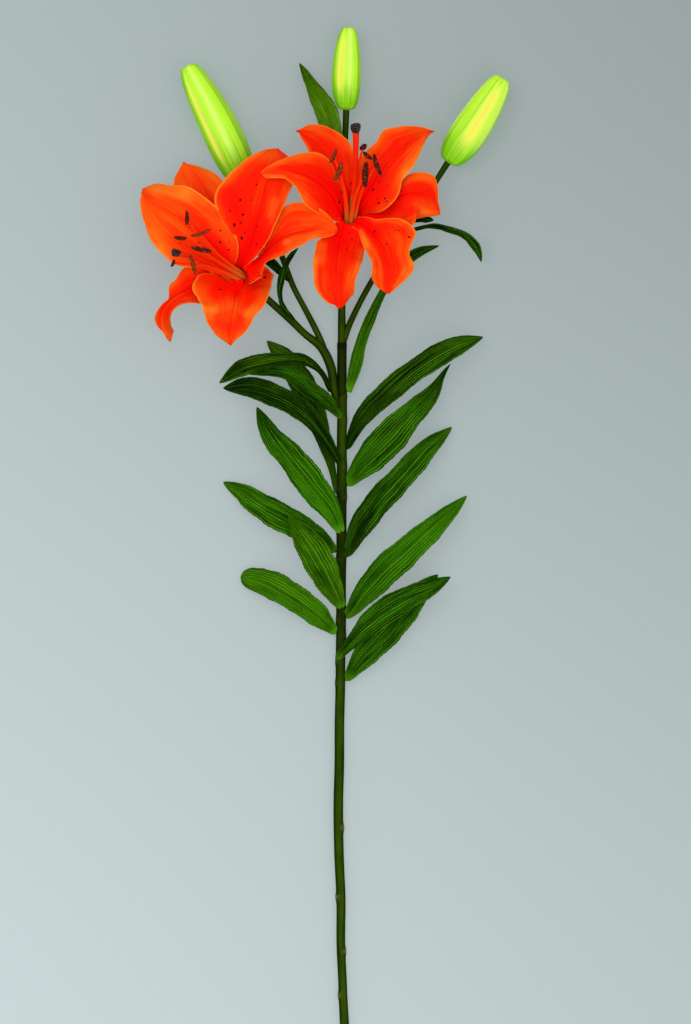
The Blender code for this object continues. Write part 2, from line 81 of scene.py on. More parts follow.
# Stalk centre lines: x, y, z and radius.
CENTRE_STALK = [
    (14.3, 104.0, 4.4, 3.7), (14.2, 131.0, 4.3, 3.5), (14.1, 151.5, 4.3, 3.4), (14.1, 177.5, 4.1, 3.0),
    (15.3, 209.5, 4.0, 2.7), (16.5, 241.5, 4.0, 2.5), (16.5, 281.5, 5.0, 2.4), (16.7, 315.4, 8.5, 2.4),
    (17.6, 339.4, 13.0, 2.6),
]
LEFT_FLOWER_STALK = [
    (11.0, 100.0, 4.4, 2.6), (7.8, 114.7, 4.5, 3.3), (5.7, 130.7, 4.8, 3.7), (-2.7, 147.9, 5.5, 3.5),
    (-15.5, 158.3, 6.5, 2.9), (-26.9, 169.5, 8.0, 3.0), (-45.4, 186.3, 13.0, 2.8),
]
LEFT_BUD_STALK = [
    (3.6, 138.0, 5.0, 1.6), (-1.5, 150.0, 5.6, 2.4), (-7.0, 162.0, 6.0, 2.5), (-15.5, 178.6, 7.0, 2.3),
    (-25.1, 197.0, 8.0, 2.3), (-30.1, 209.8, 8.6, 2.3), (-36.0, 226.0, 10.0, 2.3),
    (-44.0, 246.0, 12.0, 2.3), (-55.0, 264.0, 14.0, 2.4), (-62.8, 279.2, 16.2, 2.6),
]
RIGHT_FLOWER_STALK = [
    (14.1, 170.0, 7.5, 2.5), (14.3, 182.0, 9.8, 2.5), (15.0, 195.0, 10.3, 2.5), (17.2, 212.0, 11.2, 2.5),
    (19.0, 226.0, 15.4, 2.6),
]
RIGHT_BUD_STALK = [
    (14.6, 147.0, 4.3, 1.6), (16.0, 154.0, 4.4, 2.4), (19.5, 164.5, 4.6, 2.5), (23.7, 173.5, 5.0, 2.4),
    (38.5, 201.5, 7.0, 2.3), (58.0, 233.0, 10.0, 2.2), (75.0, 258.5, 12.0, 2.2),
    (90.0, 281.5, 14.4, 2.3), (100.0, 297.0, 15.8, 2.6),
]

# The dark sleeve of the centre stalk and the rim at its top: y where each starts, is full, starts to
# fade and ends, then how far it swells the stalk and how much it colours it.
SLEEVE = (106, 109, 151.0, 152.0)
SLEEVE_MARK = (0.35, 0.70)
SLEEVE_RIM = (145.5, 147.0, 151.0, 152.0)
SLEEVE_RIM_MARK = (0.15, 0.30)

BLUSH = (4.0, 1.5)  # how far before the end of a flower's stalk its orange starts and is full

# Buds: base, tip, largest radius, turn of the first seam and of the next crease in degrees, the
# width of the seam's streak in radians, and how far the bud bows to its right.
BUDS = {
    "left_bud": ((-62.2, 277.0, 16.2), (-109.5, 373.0, 17.5), 15.4, 46, 134, 0.17, 1.6),
    "top_bud": ((17.7, 337.2, 13.0), (19.7, 403.5, 12.5), 11.6, 60, 140, 0.28, -0.3),
    "right_bud": ((98.9, 295.1, 15.6), (142.9, 363.1, 16.5), 14.6, 100, 190, 0.40, 0.8),
}
BUD_RINGS, BUD_SIDES = 81, 96
BUD_PROFILE = [  # place along a bud and share of its largest radius
    (0.0, 0.20), (0.015, 0.46), (0.06, 0.68), (0.14, 0.86), (0.27, 0.98), (0.42, 1.0), (0.58, 0.95),
    (0.72, 0.86), (0.82, 0.76), (0.90, 0.65), (0.96, 0.51), (0.99, 0.35), (1.0, 0.14),
]

# A blade's stations run from base to tip: x, y, z and the half widths on its left and right.
LEAVES = {
    "leaf_left_1": [
        (10.4, 30, 4.2, 2.2, 2.2), (5.5, 54, 4.5, 3.5, 3), (-1, 77, 5, 7, 6), (-9, 99, 6, 9, 9),
        (-19, 119, 7, 9, 11), (-31, 137, 6, 8, 9), (-46, 153, 3.5, 0, 0),
    ],
    "leaf_left_2": [
        (5.8, 112, 4, 2.5, 2.5), (-4, 129, 20, 2, 2.5), (-16, 137, 30, 4, 4.5), (-39, 137, 37, 5, 6),
        (-63, 132, 34, 7, 7), (-84, 119, 18, 0, 0),
    ],
    "leaf_left_3": [
        (14, 91, 7.8, 2.2, 2.2), (3, 104, 14, 6, 5), (-13, 115, 21, 7, 7), (-31, 126, 26, 4, 8),
        (-53, 129, 24, 4, 5), (-71, 128, 18, 0, 0),
    ],
    "leaf_left_4": [
        (12.8, 54, 7.6, 2.4, 2.4), (1, 75, 14, 5, 5), (-15, 96, 20, 9, 7), (-39, 111, 23, 11, 7),
        (-61, 117, 20, 9, 7), (-81, 115, 11, 0, 0),
    ],
    "leaf_left_5": [
        (14, -1, 7.6, 3.0, 3.0), (5, 18, 14, 9, 8), (-10, 36, 20, 11, 13), (-26, 56, 23, 9, 13),
        (-42, 78, 20, 9, 7), (-54, 100, 10, 0, 0),
    ],
    "leaf_left_6": [
        (9.6, -16, 5, 3.0, 3.0), (-5, -2, 8, 9, 6), (-27, 11, 11, 14, 8), (-50, 23, 10, 12, 8),
        (-67, 34, 6, 8, 5), (-81, 40, 2.2, 0, 0),
    ],
    "leaf_left_7": [
        (14.5, -61, 7.6, 3.0, 3.0), (6, -45, 14, 9, 9), (-4, -27, 20, 11, 14), (-15, -9, 21, 9, 13),
        (-29, 12, 15, 0, 0),
    ],
    "leaf_left_8": [
        (9.8, -81, 5, 2.6, 2.6), (-5, -68, 10, 8, 10), (-23, -55, 13, 9, 12), (-43, -43, 11, 10, 12),
        (-55, -38, 7, 9, 9), (-67, -36, 2.2, 0, 0),
    ],
    "leaf_right_1": [
        (17.5, 66, 5, 2.4, 2.4), (30, 90, 12, 7, 6), (49, 109, 21, 10, 8), (75, 132, 27, 8, 10),
        (101, 148, 22, 7, 10), (127, 156, 8, 0, 0),
    ],
    "leaf_right_2": [
        (17.4, 37, 5, 3.0, 3.4), (29, 54, 10, 7, 12), (48, 73, 17, 12, 15), (69, 95, 20, 9, 11),
        (86, 112, 15, 5.5, 7), (93, 123, 11, 2.4, 2.8), (97, 129.5, 8, 1.3, 1.5), (101, 134.5, 6, 0, 0),
    ],
    "leaf_right_3": [
        (17.2, -20, 5, 2.6, 3.0), (26, 2, 10, 7, 10), (42, 25, 15, 9, 12), (61, 46, 18, 8, 12),
        (81, 68, 13, 6, 10), (102, 84, 3, 0, 0),
    ],
    "leaf_right_4": [
        (16.8, -69, 5, 2.6, 3.0), (29, -51, 12, 7, 10), (47, -30, 19, 10, 14), (69, -10, 22, 9, 13),
        (93, 11, 16, 6, 9), (114, 29, 5, 0, 0),
    ],
    "leaf_right_5": [
        (9.5, -102, 7.4, 2.6, 2.6), (23, -86, 13, 5, 6), (41, -69, 21, 10, 11), (65, -54, 25, 10, 9),
        (85, -45, 21, 7, 6), (101, -36, 12, 0, 0),
    ],
    "leaf_right_6": [
        (17.0, -119, 5, 2.6, 2.6), (30, -100, 8, 8, 10), (49, -80, 10, 11, 12), (67, -59, 10, 11, 11),
        (80, -45, 7, 7, 6), (91, -34, 4, 0, 0),
    ],
    "leaf_top": [
        (15.3, 291, 6.7, 1.6, 1.6), (9, 315, 12, 7, 6), (1, 337, 14, 9, 9), (-10, 357, 12, 5, 5),
        (-20, 375, 7, 0, 0),
    ],
    "bract_right_long": [
        (19.0, 112, 5, 2.6, 2.6), (25, 133, 9, 5, 5), (29, 150, 13, 4.5, 4.5), (38, 173.5, 15, 4, 4),
        (47, 192, 17, 3, 3), (59, 211, 17, 3.5, 3.5), (74, 223, 14, 4, 4), (92, 229, 8, 0, 0),
    ],
    "bract_right_arched": [
        (62.5, 238, 12.0, 1.4, 1.4), (75, 243, 20, 2.5, 2.5), (90, 244.5, 25, 3.5, 3.5),
        (101, 242, 25, 4, 4), (111, 238.5, 22, 4.5, 4.5), (118.5, 232, 18, 4.5, 4.5),
        (123, 225, 13, 3.5, 3.5), (125.5, 216, 8, 0, 0),
    ],
    "bract_right_short": [
        (65.5, 245, 12.0, 1.2, 1.2), (74, 250, 18, 2.6, 2.6), (82, 250, 19, 2.6, 2.6),
        (87.5, 249, 17, 0, 0),
    ],
    "bract_left_folded": [
        (-24.0, 169, 9.5, 1.4, 1.4), (-34.5, 182.3, 17, 2.5, 2.5), (-36, 194.5, 22, 3, 3),
        (-33, 208, 24, 3, 3), (-28, 219, 21, 2.5, 2.5), (-21, 227, 15, 0, 0),
    ],
    "bract_left_hidden": [
        (-27.5, 200.5, 9.5, 1.4, 1.4), (-35, 208, 14, 3, 3), (-44, 217, 15, 4, 4), (-55, 229, 12, 3, 3),
        (-64, 240, 8, 0, 0),
    ],
}
LEAF_GRID = (72, 24)  # rows and columns
LEAF_TIPS = {"leaf_left_8": 1.0}  # roundness of a blunt tip
BLADE_TIP = 0.3  # roundness of the others' tips
LEAF_CUP = (0.30, 0.10)  # rise of the edges at base and tip, over the half width
LEAF_ROLLS = {  # how far a leaf is turned about its own line at base and tip, in degrees
    "bract_right_arched": (75, 35), "bract_left_folded": (50, 30),
}
LEAF_OLIVES = {  # how olive a leaf is, from 0 to 1
    "leaf_left_1": 0.6, "leaf_left_2": 0.7, "leaf_left_4": 0.3, "leaf_left_7": 0.4,
    "leaf_left_8": 0.2, "leaf_right_1": 0.3, "leaf_top": 0.8, "bract_right_long": 0.2,
}
LEAF_SHADES = {  # how bright a leaf's green is at its base and tip: dark about 0, bright from 1
    "leaf_left_1": (0.25, 0.40), "leaf_left_2": (0.0, 0.22), "leaf_left_3": (0.26, 0.20),
    "leaf_left_4": (-0.12, -0.03), "leaf_left_5": (0.85, 0.18), "leaf_left_6": (0.35, 0.52),
    "leaf_left_7": (0.58, 0.40), "leaf_left_8": (0.72, 0.62), "leaf_right_1": (-0.12, 0.34),
    "leaf_right_2": (0.48, 0.20), "leaf_right_3": (0.05, 0.45), "leaf_right_4": (0.38, 0.68),
    "leaf_right_5": (0.25, 0.32), "leaf_right_6": (0.40, 0.40), "leaf_top": (2.00, 0.20),
    "bract_right_long": (0.75, 0.10), "bract_right_arched": (0.0, 0.22),
    "bract_right_short": (0.0, 0.15),
    "bract_left_folded": (0.0, 0.25), "bract_left_hidden": (0.0, 0.0),
}

# The rings on which a flower's parts stand: radius and half width for each whorl.
CLAW_RADIUS = {"inner": 4.6, "outer": 5.3}
CLAW_HALF_WIDTH = 2.6
THROAT_RADIUS = {"inner": 6.8, "outer": 9.2}
THROAT_HALF_WIDTH = {"inner": 4.4, "outer": 3.6}
THROAT_DEPTH = 6.5
TEPAL_GRID = (96, 40)  # rows and columns
STAMEN_RING = 3.4
FILAMENT_KNEE = 0.55  # where a filament bends, as a share of the way from its foot to its anther
FILAMENT_RADIUS = (2.25, 1.4)  # at its foot, and how much it loses by its tip
FILAMENT_RINGS, FILAMENT_SIDES = 46, 16
ANTHER_RINGS, ANTHER_SIDES = 25, 20
RECEPTACLE = [(12.0, 2.9), (5.0, 4.0), (1.2, 6.0), (-1.0, 6.2)]  # back from the throat, radius
RING_SHARE = 0.2  # of a tepal's length, over which it turns from the ring to its own lie
OVARY_RADIUS, STYLE_RADIUS = 2.3, 1.3
PISTIL_RINGS, PISTIL_SIDES = 90, 36
PISTIL_PROFILE = [  # place along a pistil and its radius there
    (0.0, 1.9), (0.10, 2.3), (0.22, 2.3), (0.32, 2.1), (0.6, 2.2), (0.8, 2.4), (0.92, 2.8),
    (0.93, 3.4), (0.95, 4.0), (0.975, 4.1), (0.993, 3.2), (1.0, 1.5),
]
STIGMA_START = 0.925

# Flowers. A tepal: its whorl, place round the axis in degrees, roll, cup, roundness of its tip and
# stations. Stigma: its relative size. A stamen: its place round the axis, its anther's two ends and
# width, and 1 where the pollen is red-brown.
FLOWERS = {
    "right": {
        "throat": (20.5, 246.3, 30.0),
        "axis": (0.05, 0.78, 0.62),
        "stalk": RIGHT_FLOWER_STALK,
        "tepals": {
            "right_outer_tepal_top": ("outer", 240, (0, 0), (0.1, 0.0), 0.4, [
                (13, 270.5, 38, 10, 12.7), (10.7, 277.8, 39, 12.1, 14.8),
                (8.2, 285.2, 38.2, 13.6, 17.3), (5.1, 292.3, 36.5, 14, 20.6),
                (1.7, 298.9, 33.9, 13.1, 22.1), (-2.1, 304.7, 30.5, 11.4, 20.5),
                (-6.5, 310, 26.8, 9, 17.3), (-11.3, 314.5, 22.6, 6.3, 14.1),
                (-16.6, 318.1, 18.3, 3.8, 8.1), (-19.8, 319.5, 16, 0.8, 2.8),
                (-22.6, 320.6, 14, 0, 0)]),
            "right_inner_tepal_left": ("inner", 180, (25, 15), (0.1, -0.1), 0.3, [
                (9.5, 262.6, 40.7, 17.6, 7.7), (3.1, 272.5, 46.9, 21.5, 13.7),
                (-1.2, 276.8, 50.5, 22.3, 16.7), (-6.2, 280.5, 53.9, 23, 19.8),
                (-11.7, 283.5, 56.7, 19.6, 21.2), (-17.7, 285.7, 59, 14.4, 18.7),
                (-24.3, 287.3, 60.6, 10.4, 15.2), (-31.1, 288.5, 61.2, 7.2, 11.5),
                (-38.3, 289.2, 60.9, 7.4, 6.4), (-44.6, 288.4, 59.6, 6.3, 2.7),
                (-47.9, 287, 58.2, 4.9, 1.9), (-50.6, 285.8, 57, 0, 0)]),
            "right_inner_tepal_top": ("inner", 300, (0, 0), (0.05, 0.0), 0.3, [
                (33, 269.6, 45, 13.3, 20.3), (37.7, 277, 47, 16.7, 22.2),
                (43, 284.9, 46.9, 20.2, 21.4), (48.8, 292.5, 45.9, 19.1, 18.2),
                (55.1, 299.4, 44.4, 17.9, 17.2), (61.4, 305.5, 42, 20.9, 15.7),
                (68, 310.7, 38.1, 15.7, 13), (74.7, 314.8, 32.9, 10.1, 8),
                (81.1, 317.7, 27.2, 5.7, 3.3), (84.7, 319.1, 23.8, 2.5, 1), (87.7, 320.1, 21, 0, 0)]),
            "right_outer_tepal_right": ("outer", 0, (-20, -10), (0.1, -0.1), 0.3, [
                (45, 259.9, 31.5, 0.7, 22.9), (53.1, 264.8, 35.7, 8.6, 25.7),
                (61.5, 268.6, 40.1, 9.1, 26.7), (71.7, 270.7, 40.5, 16.7, 23.2),
                (76.4, 270.2, 39.7, 17.6, 22.7), (81.1, 268.3, 38, 17.1, 27),
                (84.9, 265.5, 36.1, 10.8, 30.9), (87.9, 261.9, 34.1, 4.5, 34.6),
                (90.3, 257.4, 32, 2.6, 10.5), (92.6, 253.7, 30, 0, 0)]),
            "right_inner_tepal_bottom": ("inner", 60, (0, 0), (0.15, -0.2), 0.5, [
                (30, 245.4, 44.5, 6.4, 6.1), (37.1, 239.6, 50, 11.4, 10.6),
                (39.7, 237.1, 53.6, 15.8, 12), (42, 234.5, 57.4, 20.8, 13.2),
                (44.1, 231.8, 61.2, 26, 13.9), (46, 228.8, 64.9, 28.6, 13.8),
                (47.9, 225.4, 68.6, 28.8, 13.6), (49.6, 221.9, 71.9, 20.7, 13.5),
                (51.1, 217.9, 74.8, 16.8, 14), (52.3, 213.6, 77.5, 17.6, 14.9),
                (53.1, 208.9, 78.9, 18.7, 15.6), (53.3, 203.7, 78.3, 14.3, 15.9),
                (52.9, 198.9, 76.7, 8.8, 15.1), (52, 194.3, 74.5, 4.2, 12.9),
                (51.3, 191.8, 73, 2.3, 9.5), (50.8, 190, 72, 0, 0)]),
            "right_outer_tepal_bottom": ("outer", 120, (0, 0), (0.1, -0.2), 0.5, [
                (14.4, 241.8, 41.4, 17.1, 7.5), (13, 234.5, 42, 20.2, 10.2),
                (11.8, 228.7, 46.2, 20.5, 17.7), (10.9, 223.8, 52.3, 21, 17.9),
                (10.2, 218.8, 58.3, 20.4, 18.1), (9.7, 212.6, 62.6, 18.7, 19.3),
                (9.2, 205.8, 66.2, 17.3, 17.8), (9, 198.6, 68, 15.7, 16.9),
                (8.8, 191, 67.4, 14.9, 14.2), (9.4, 184, 64.6, 13, 7.6), (10.3, 180.6, 62, 8.5, 1.1),
                (10.9, 178, 60, 0, 0)]),
        },
        "stigma": 1.0,
        "pistil": [(23.2, 269.5, 48.5), (25.0, 297.0, 68.0), (25.4, 325.5, 82.0)],
        "stamens": [
            (200, (9.8, 305.4, 61), (4.8, 294.2, 60), 4.0, 1),
            (140, (14.4, 294.7, 70), (8.3, 279.4, 70), 4.4, 1),
            (80, (33.4, 295.0, 76), (32.4, 274.6, 74), 5.4, 0),
            (20, (39.3, 301.4, 60), (45.2, 283.7, 63), 4.2, 0),
            (320, (30.8, 303.0, 64), (38.2, 297.1, 62), 3.8, 0),
            (260, (29.0, 305.0, 52), (33.0, 309.0, 59), 4.6, 0),
        ],
    },
    "left": {
        "throat": (-65.1, 202.3, 30.0),
        "axis": (-0.62, 0.35, 0.70),
        "stalk": LEFT_FLOWER_STALK,
        "tepals": {
            "left_outer_tepal_top": ("outer", 290, (0, 0), (0.1, 0.0), 0.4, [
                (-76.2, 234.3, 37, 21.2, 8.4), (-79.2, 242.2, 37.6, 22.7, 9.5),
                (-83.3, 250.3, 37, 23.8, 12), (-87.4, 257.9, 35.4, 24, 14.1),
                (-91.1, 265.1, 32.9, 23.3, 14.5), (-94.8, 272.1, 29.4, 22.8, 16),
                (-98.7, 278.6, 25.4, 22, 14), (-102.9, 284.8, 21.2, 20.9, 9.9),
                (-107.4, 290.5, 16.7, 16.5, 4.3), (-110, 293.5, 14.1, 11.1, 1),
                (-112.3, 295.8, 12, 0, 0)]),
            "left_inner_tepal_left": ("inner", 230, (8, 0), (0.15, 0.0), 0.9, [
                (-87.1, 227.4, 47, 23.4, 19.4), (-93.5, 233.9, 49.6, 30.4, 22.5),
                (-100.6, 240.1, 51.1, 32.3, 23.9), (-108, 245.6, 51.2, 32.1, 25),
                (-115.3, 250.6, 49.5, 31.6, 25.4), (-122.8, 255, 46.4, 28.1, 23.9),
                (-129.9, 259.2, 42.3, 21.4, 20.4), (-136.6, 263.5, 37, 14.7, 17.3),
                (-141.8, 268.1, 31.2, 7.3, 16.6), (-143.7, 271.1, 27.9, 3.2, 14),
                (-145.3, 273.7, 25, 0, 0)]),
            "left_inner_tepal_top": ("inner", 350, (0, 0), (0.1, -0.15), 0.7, [
                (-58.2, 230.5, 45, 15.7, 10.2), (-55.8, 239, 47.6, 24.2, 13),
                (-53.7, 248.3, 49.2, 32.4, 14.5), (-51.5, 257.3, 50.3, 36.7, 17.1),
                (-49.3, 266.6, 50.9, 37, 19), (-47.1, 275.7, 50.5, 32.1, 19.3),
                (-44.3, 284.6, 48.6, 25.3, 20.4), (-41.5, 292.9, 45.3, 19.9, 20.2),
                (-38.8, 299.9, 39.9, 12, 17.4), (-37.4, 302.9, 36.2, 8.2, 15.2),
                (-36.2, 305.6, 33, 0, 0)]),
            "left_outer_tepal_right": ("outer", 50, (0, 0), (0.1, 0.0), 0.3, [
                (-50.2, 221.2, 34, 1.2, 7.1), (-44.9, 226.2, 35.8, 3.5, 10),
                (-39.4, 230.6, 39.6, 6.6, 12.1), (-33.3, 234.4, 42.9, 12.7, 11.9),
                (-26.4, 237.2, 44.7, 21.7, 10.9), (-19.1, 239.2, 46, 24, 10.4),
                (-11.6, 240.8, 47.3, 22.5, 7.7), (-4.1, 242.4, 48.7, 17, 7.7),
                (3.5, 242.1, 48.6, 8.6, 7), (7.7, 241.1, 47.7, 4.1, 4.6), (10.9, 240.3, 47, 0, 0)]),
            "left_inner_tepal_bottom": ("inner", 110, (0, 0), (0.1, -0.15), 0.2, [
                (-67.1, 198.8, 39.6, 15.2, 16.9), (-67.7, 196.9, 40, 16.8, 7.2),
                (-69.2, 193.2, 43.4, 27.4, 31.1), (-70.2, 190, 47.2, 28.7, 34.9),
                (-71, 186.9, 51.2, 28.7, 35.4), (-71.5, 183.7, 55, 27.7, 30.1),
                (-72, 180.1, 58.7, 23.8, 27.4), (-72.8, 176, 61.9, 17.4, 27.1),
                (-73.9, 171.7, 64.4, 16.9, 24.4), (-74.9, 167.2, 66.4, 16, 19.7),
                (-75.3, 162.1, 66.9, 14, 15), (-75.4, 156.9, 66, 10.6, 11.1),
                (-75.1, 152.5, 63.6, 4.3, 5.8), (-74.8, 150.3, 61.4, 1.8, 2),
                (-74.5, 148.9, 60, 0, 0)]),
            "left_outer_tepal_bottom": ("outer", 170, (-10, -20), (0.0, -0.3), 0.3, [
                (-87.3, 197.3, 31, 15.8, 4), (-92.6, 197.1, 33.7, 15.3, 18.2),
                (-97.6, 196.6, 37.8, 14.6, 18.5), (-101.9, 195.8, 41.9, 14, 18.5),
                (-107.5, 194, 43.9, 12.8, 17.1), (-113, 191.6, 44.1, 11, 11.6),
                (-118.5, 188.7, 42.6, 10.1, 8.8), (-123, 185.1, 40.7, 9, 1.6),
                (-126.7, 181, 38.3, 7.9, 2.9), (-129.6, 176.3, 35.3, 8.2, 4.2),
                (-130.9, 171.4, 32.2, 8.7, 4.9), (-130.7, 166, 28.8, 8.9, 3.4),
                (-129.2, 161.1, 25.7, 9.4, 0.8), (-126.2, 156.4, 22.7, 9.1, 0.4),
                (-124.3, 153.9, 21.1, 8.4, 0.6), (-122.9, 152.2, 20, 0, 0)]),
        },
        "stigma": 0.76,
        "pistil": [(-83.5, 210.5, 51.0), (-101.5, 218.5, 72.0), (-121.0, 223.3, 88.0)],
        "stamens": [
            (310, (-109.6, 256.2, 58), (-109.9, 244.7, 61), 3.4, 0),
            (10, (-90.3, 240.9, 74), (-106.6, 235.5, 78), 3.2, 1),
            (250, (-119.9, 234.8, 68), (-109.6, 234.0, 71), 3.4, 0),
            (70, (-106.1, 226.8, 88), (-89.9, 223.4, 84), 4.0, 0),
            (130, (-106.7, 221.0, 95), (-102.8, 205.4, 88), 3.6, 1),
            (190, (-119.3, 217.0, 74), (-121.9, 211.5, 70), 3.0, 0),
        ],
    },
}

# How much more orange than the others a tepal is.
TEPAL_SHADES = {
    "left_inner_tepal_left": 0.30, "left_outer_tepal_top": 0.40, "left_inner_tepal_bottom": 0.28,
    "left_outer_tepal_right": 0.14, "right_inner_tepal_bottom": 0.08, "right_inner_tepal_top": 0.12,
    "left_outer_tepal_bottom": 0.10, "right_outer_tepal_bottom": -0.06,
}

# Half widths at the neck, on its left and right, of a tepal that is not as narrow there as the others.
NECKS = {
    "left_inner_tepal_bottom": (14, 9), "right_inner_tepal_bottom": (3, 5),
    "right_inner_tepal_left": (8, 4.4), "right_outer_tepal_bottom": (8, 6),
    "left_outer_tepal_right": (3.6, 12),
}

# How far a tepal's left and right edges run back past its neck, in millimetres.
SWEEPS = {"left_inner_tepal_bottom": (26, 2.5), "right_inner_tepal_bottom": (7.6, 0)}
SWEEP_REACH = 21  # distance from the midrib at which an edge is swept back in full

# How far a tepal's left and right sides wrap round the throat, in millimetres.
WRAPS = {"left_inner_tepal_bottom": (9, 0)}
WRAP_REACH = 9

SPOT_RINGS, SPOT_SIDES = 7, 10
SPOT_SCALE = 1.15  # a spot's mesh over the dark length that shows
SPOT_WIDTHS = (0.55, 0.85)  # least and greatest width of a spot, over its length
SPOT_HEIGHT = 0.3  # over its length

# Where a dark spot lies on a petal, in pixels of the photograph, and its length in millimetres.
SPOT_PIXELS = {
    "right": [
        (351, 183.6, 1.9), (342.3, 192, 1.9), (339.2, 202.1, 2.4), (373.1, 189.7, 2.2),
        (378.8, 182.3, 1.2), (387.2, 185, 1.0), (384.9, 198.4, 1.6), (386.5, 201.4, 1.5),
        (378.8, 203.1, 1.8), (377.5, 199, 1.0), (389.2, 213, 1.1), (374.4, 231.8, 1.9),
        (388.7, 235.1, 1.0), (386.5, 244.2, 1.5), (395.3, 230.7, 1.4), (398.6, 230.7, 1.1),
        (393.1, 227.4, 0.9), (409.2, 237.3, 2.0), (349.1, 233.2, 1.2), (352, 239.8, 1.4),
        (346.5, 249.4, 1.5), (339.9, 237.3, 1.1),
    ],
    "left": [
        (256.4, 184.6, 1.4), (240.2, 200, 2.0), (251, 200, 1.4), (230, 210.8, 1.5),
        (243, 214.6, 2.1), (234.4, 224.8, 2.8), (240.8, 222.9, 1.6), (257.1, 226.4, 1.2),
        (245.3, 232.3, 1.5), (241.8, 238, 2.8), (220.4, 230.6, 1.5), (256.9, 244.1, 1.6),
        (220.2, 242.1, 1.8), (229, 242.1, 1.2), (228.7, 249.6, 1.6), (264.8, 277.6, 2.4),
        (258, 272.4, 1.0), (254.1, 280.8, 1.2), (220.3, 289.9, 1.5), (198.9, 242.6, 1.3),
        (180, 242.9, 1.2), (203.9, 257.9, 1.2),
    ],
}

# Streaks on the petals: painted highlights where the light catches a fold (strength over 0), or deeper
# red that is partly painted shade in the folds (under 0): two ends in pixels of the photograph, width in
# pixels and strength.
STREAKS = {
    "right_outer_tepal_top": [
        (338, 137, 350, 150, 5, 0.8), (302, 128, 322, 127, 3, 0.5), (330, 150, 345, 200, 8, -0.5),
        (303, 135, 318, 145, 4, -0.4)],
    "right_inner_tepal_left": [
        (265, 170, 284, 161, 4, 0.8), (290, 156, 322, 153, 3, 0.8), (300, 196, 326, 219, 2.5, 0.6),
        (264, 177, 284, 178, 2, 0.9), (318, 160, 340, 195, 9, -0.7), (336, 195, 343, 222, 5, -0.8)],
    "right_inner_tepal_top": [
        (427, 141, 406, 174, 6, 1.0), (406, 174, 401, 186, 3, 0.7), (387, 130, 400, 128, 4, 0.7),
        (378, 211, 390, 205, 3, 0.9), (372, 190, 388, 196, 12, -0.8), (376, 160, 410, 140, 4, -0.4)],
    "right_outer_tepal_right": [
        (418, 175, 430, 180, 4, 0.5), (424, 213, 438, 214, 3, 0.8), (415, 205, 424, 212, 4, 0.5),
        (403, 195, 430, 192, 4, -0.6), (385, 213, 400, 205, 7, -0.6)],
    "right_inner_tepal_bottom": [
        (361, 232, 366, 246, 2.5, 1.1), (366, 242, 374, 258, 5, 0.9), (376, 221, 404, 223, 4, 0.8),
        (411, 263, 406, 272, 4, 1.1), (404, 277, 394, 287, 3, 0.8), (376, 230, 386, 228, 4, -0.6),
        (384, 262, 387, 282, 5, -0.7), (414, 232, 412, 244, 3, -0.5)],
    "right_outer_tepal_bottom": [
        (321, 246, 319, 262, 5, 0.9), (315, 262, 316, 286, 2.5, 0.8), (362, 252, 356, 276, 4, 0.9),
        (318, 290, 328, 301, 2, 0.5), (338, 275, 340, 300, 8, -0.7), (350, 230, 340, 240, 7, -0.7)],
    "left_outer_tepal_top": [
        (205, 171, 221, 183, 4, 0.7), (186, 166, 200, 168, 3, 0.4), (182, 178, 200, 186, 6, -0.4)],
    "left_inner_tepal_left": [
        (160, 189, 185, 194, 7, 1.1), (185, 192, 203, 203, 5, 0.9), (148, 190, 156, 190, 4, 0.6),
        (151, 232, 160, 247, 5, 0.9), (161, 250, 168, 257, 3, 1.3), (142, 200, 142, 212, 2.5, 0.7),
        (226, 225, 234, 237, 5, 0.6), (150, 206, 190, 220, 7, -0.3), (205, 240, 235, 262, 7, -0.6)],
    "left_inner_tepal_top": [
        (276, 203, 272, 216, 5, 1.2), (255, 157, 275, 156, 7, 0.8), (224, 182, 236, 170, 3, 0.6),
        (284, 152, 290, 160, 3, -0.3), (228, 195, 250, 235, 14, -0.9), (281, 207, 262, 248, 3, -0.8)],
    "left_outer_tepal_right": [
        (288, 243, 316, 236, 4, 1.1), (322, 231, 334, 229, 4, 0.6), (270, 250, 286, 246, 4, 0.4),
        (287, 205, 304, 208, 3, 0.4), (283, 215, 300, 228, 5, -0.4), (262, 258, 276, 246, 4, -0.3)],
    "left_inner_tepal_bottom": [
        (202, 309, 212, 311, 5, 1.5), (246, 315, 255, 311, 5, 1.4), (220, 308, 232, 306, 7, 0.9),
        (194, 284, 200, 304, 2.5, 1.0), (262, 300, 268, 292, 3, 0.3), (222, 340, 238, 340, 3, 0.7),
        (212, 325, 240, 326, 8, -0.8), (205, 278, 238, 285, 7, -0.8), (262, 274, 270, 286, 4, -0.3)],
    "left_outer_tepal_bottom": [
        (157, 310, 156, 324, 3, 0.7), (162, 330, 170, 338, 4, 1.0), (176, 305, 190, 302, 2, 0.6),
        (165, 306, 167, 326, 4, -0.5), (180, 275, 192, 296, 7, -0.7)],
}

# Pollen colours: between the grains and on them.
POLLEN = {
    "Dark pollen": ((0.035, 0.004, 0.003), (0.15, 0.020, 0.010)),
    "Ruddy pollen": ((0.11, 0.010, 0.003), (0.38, 0.055, 0.012)),
}
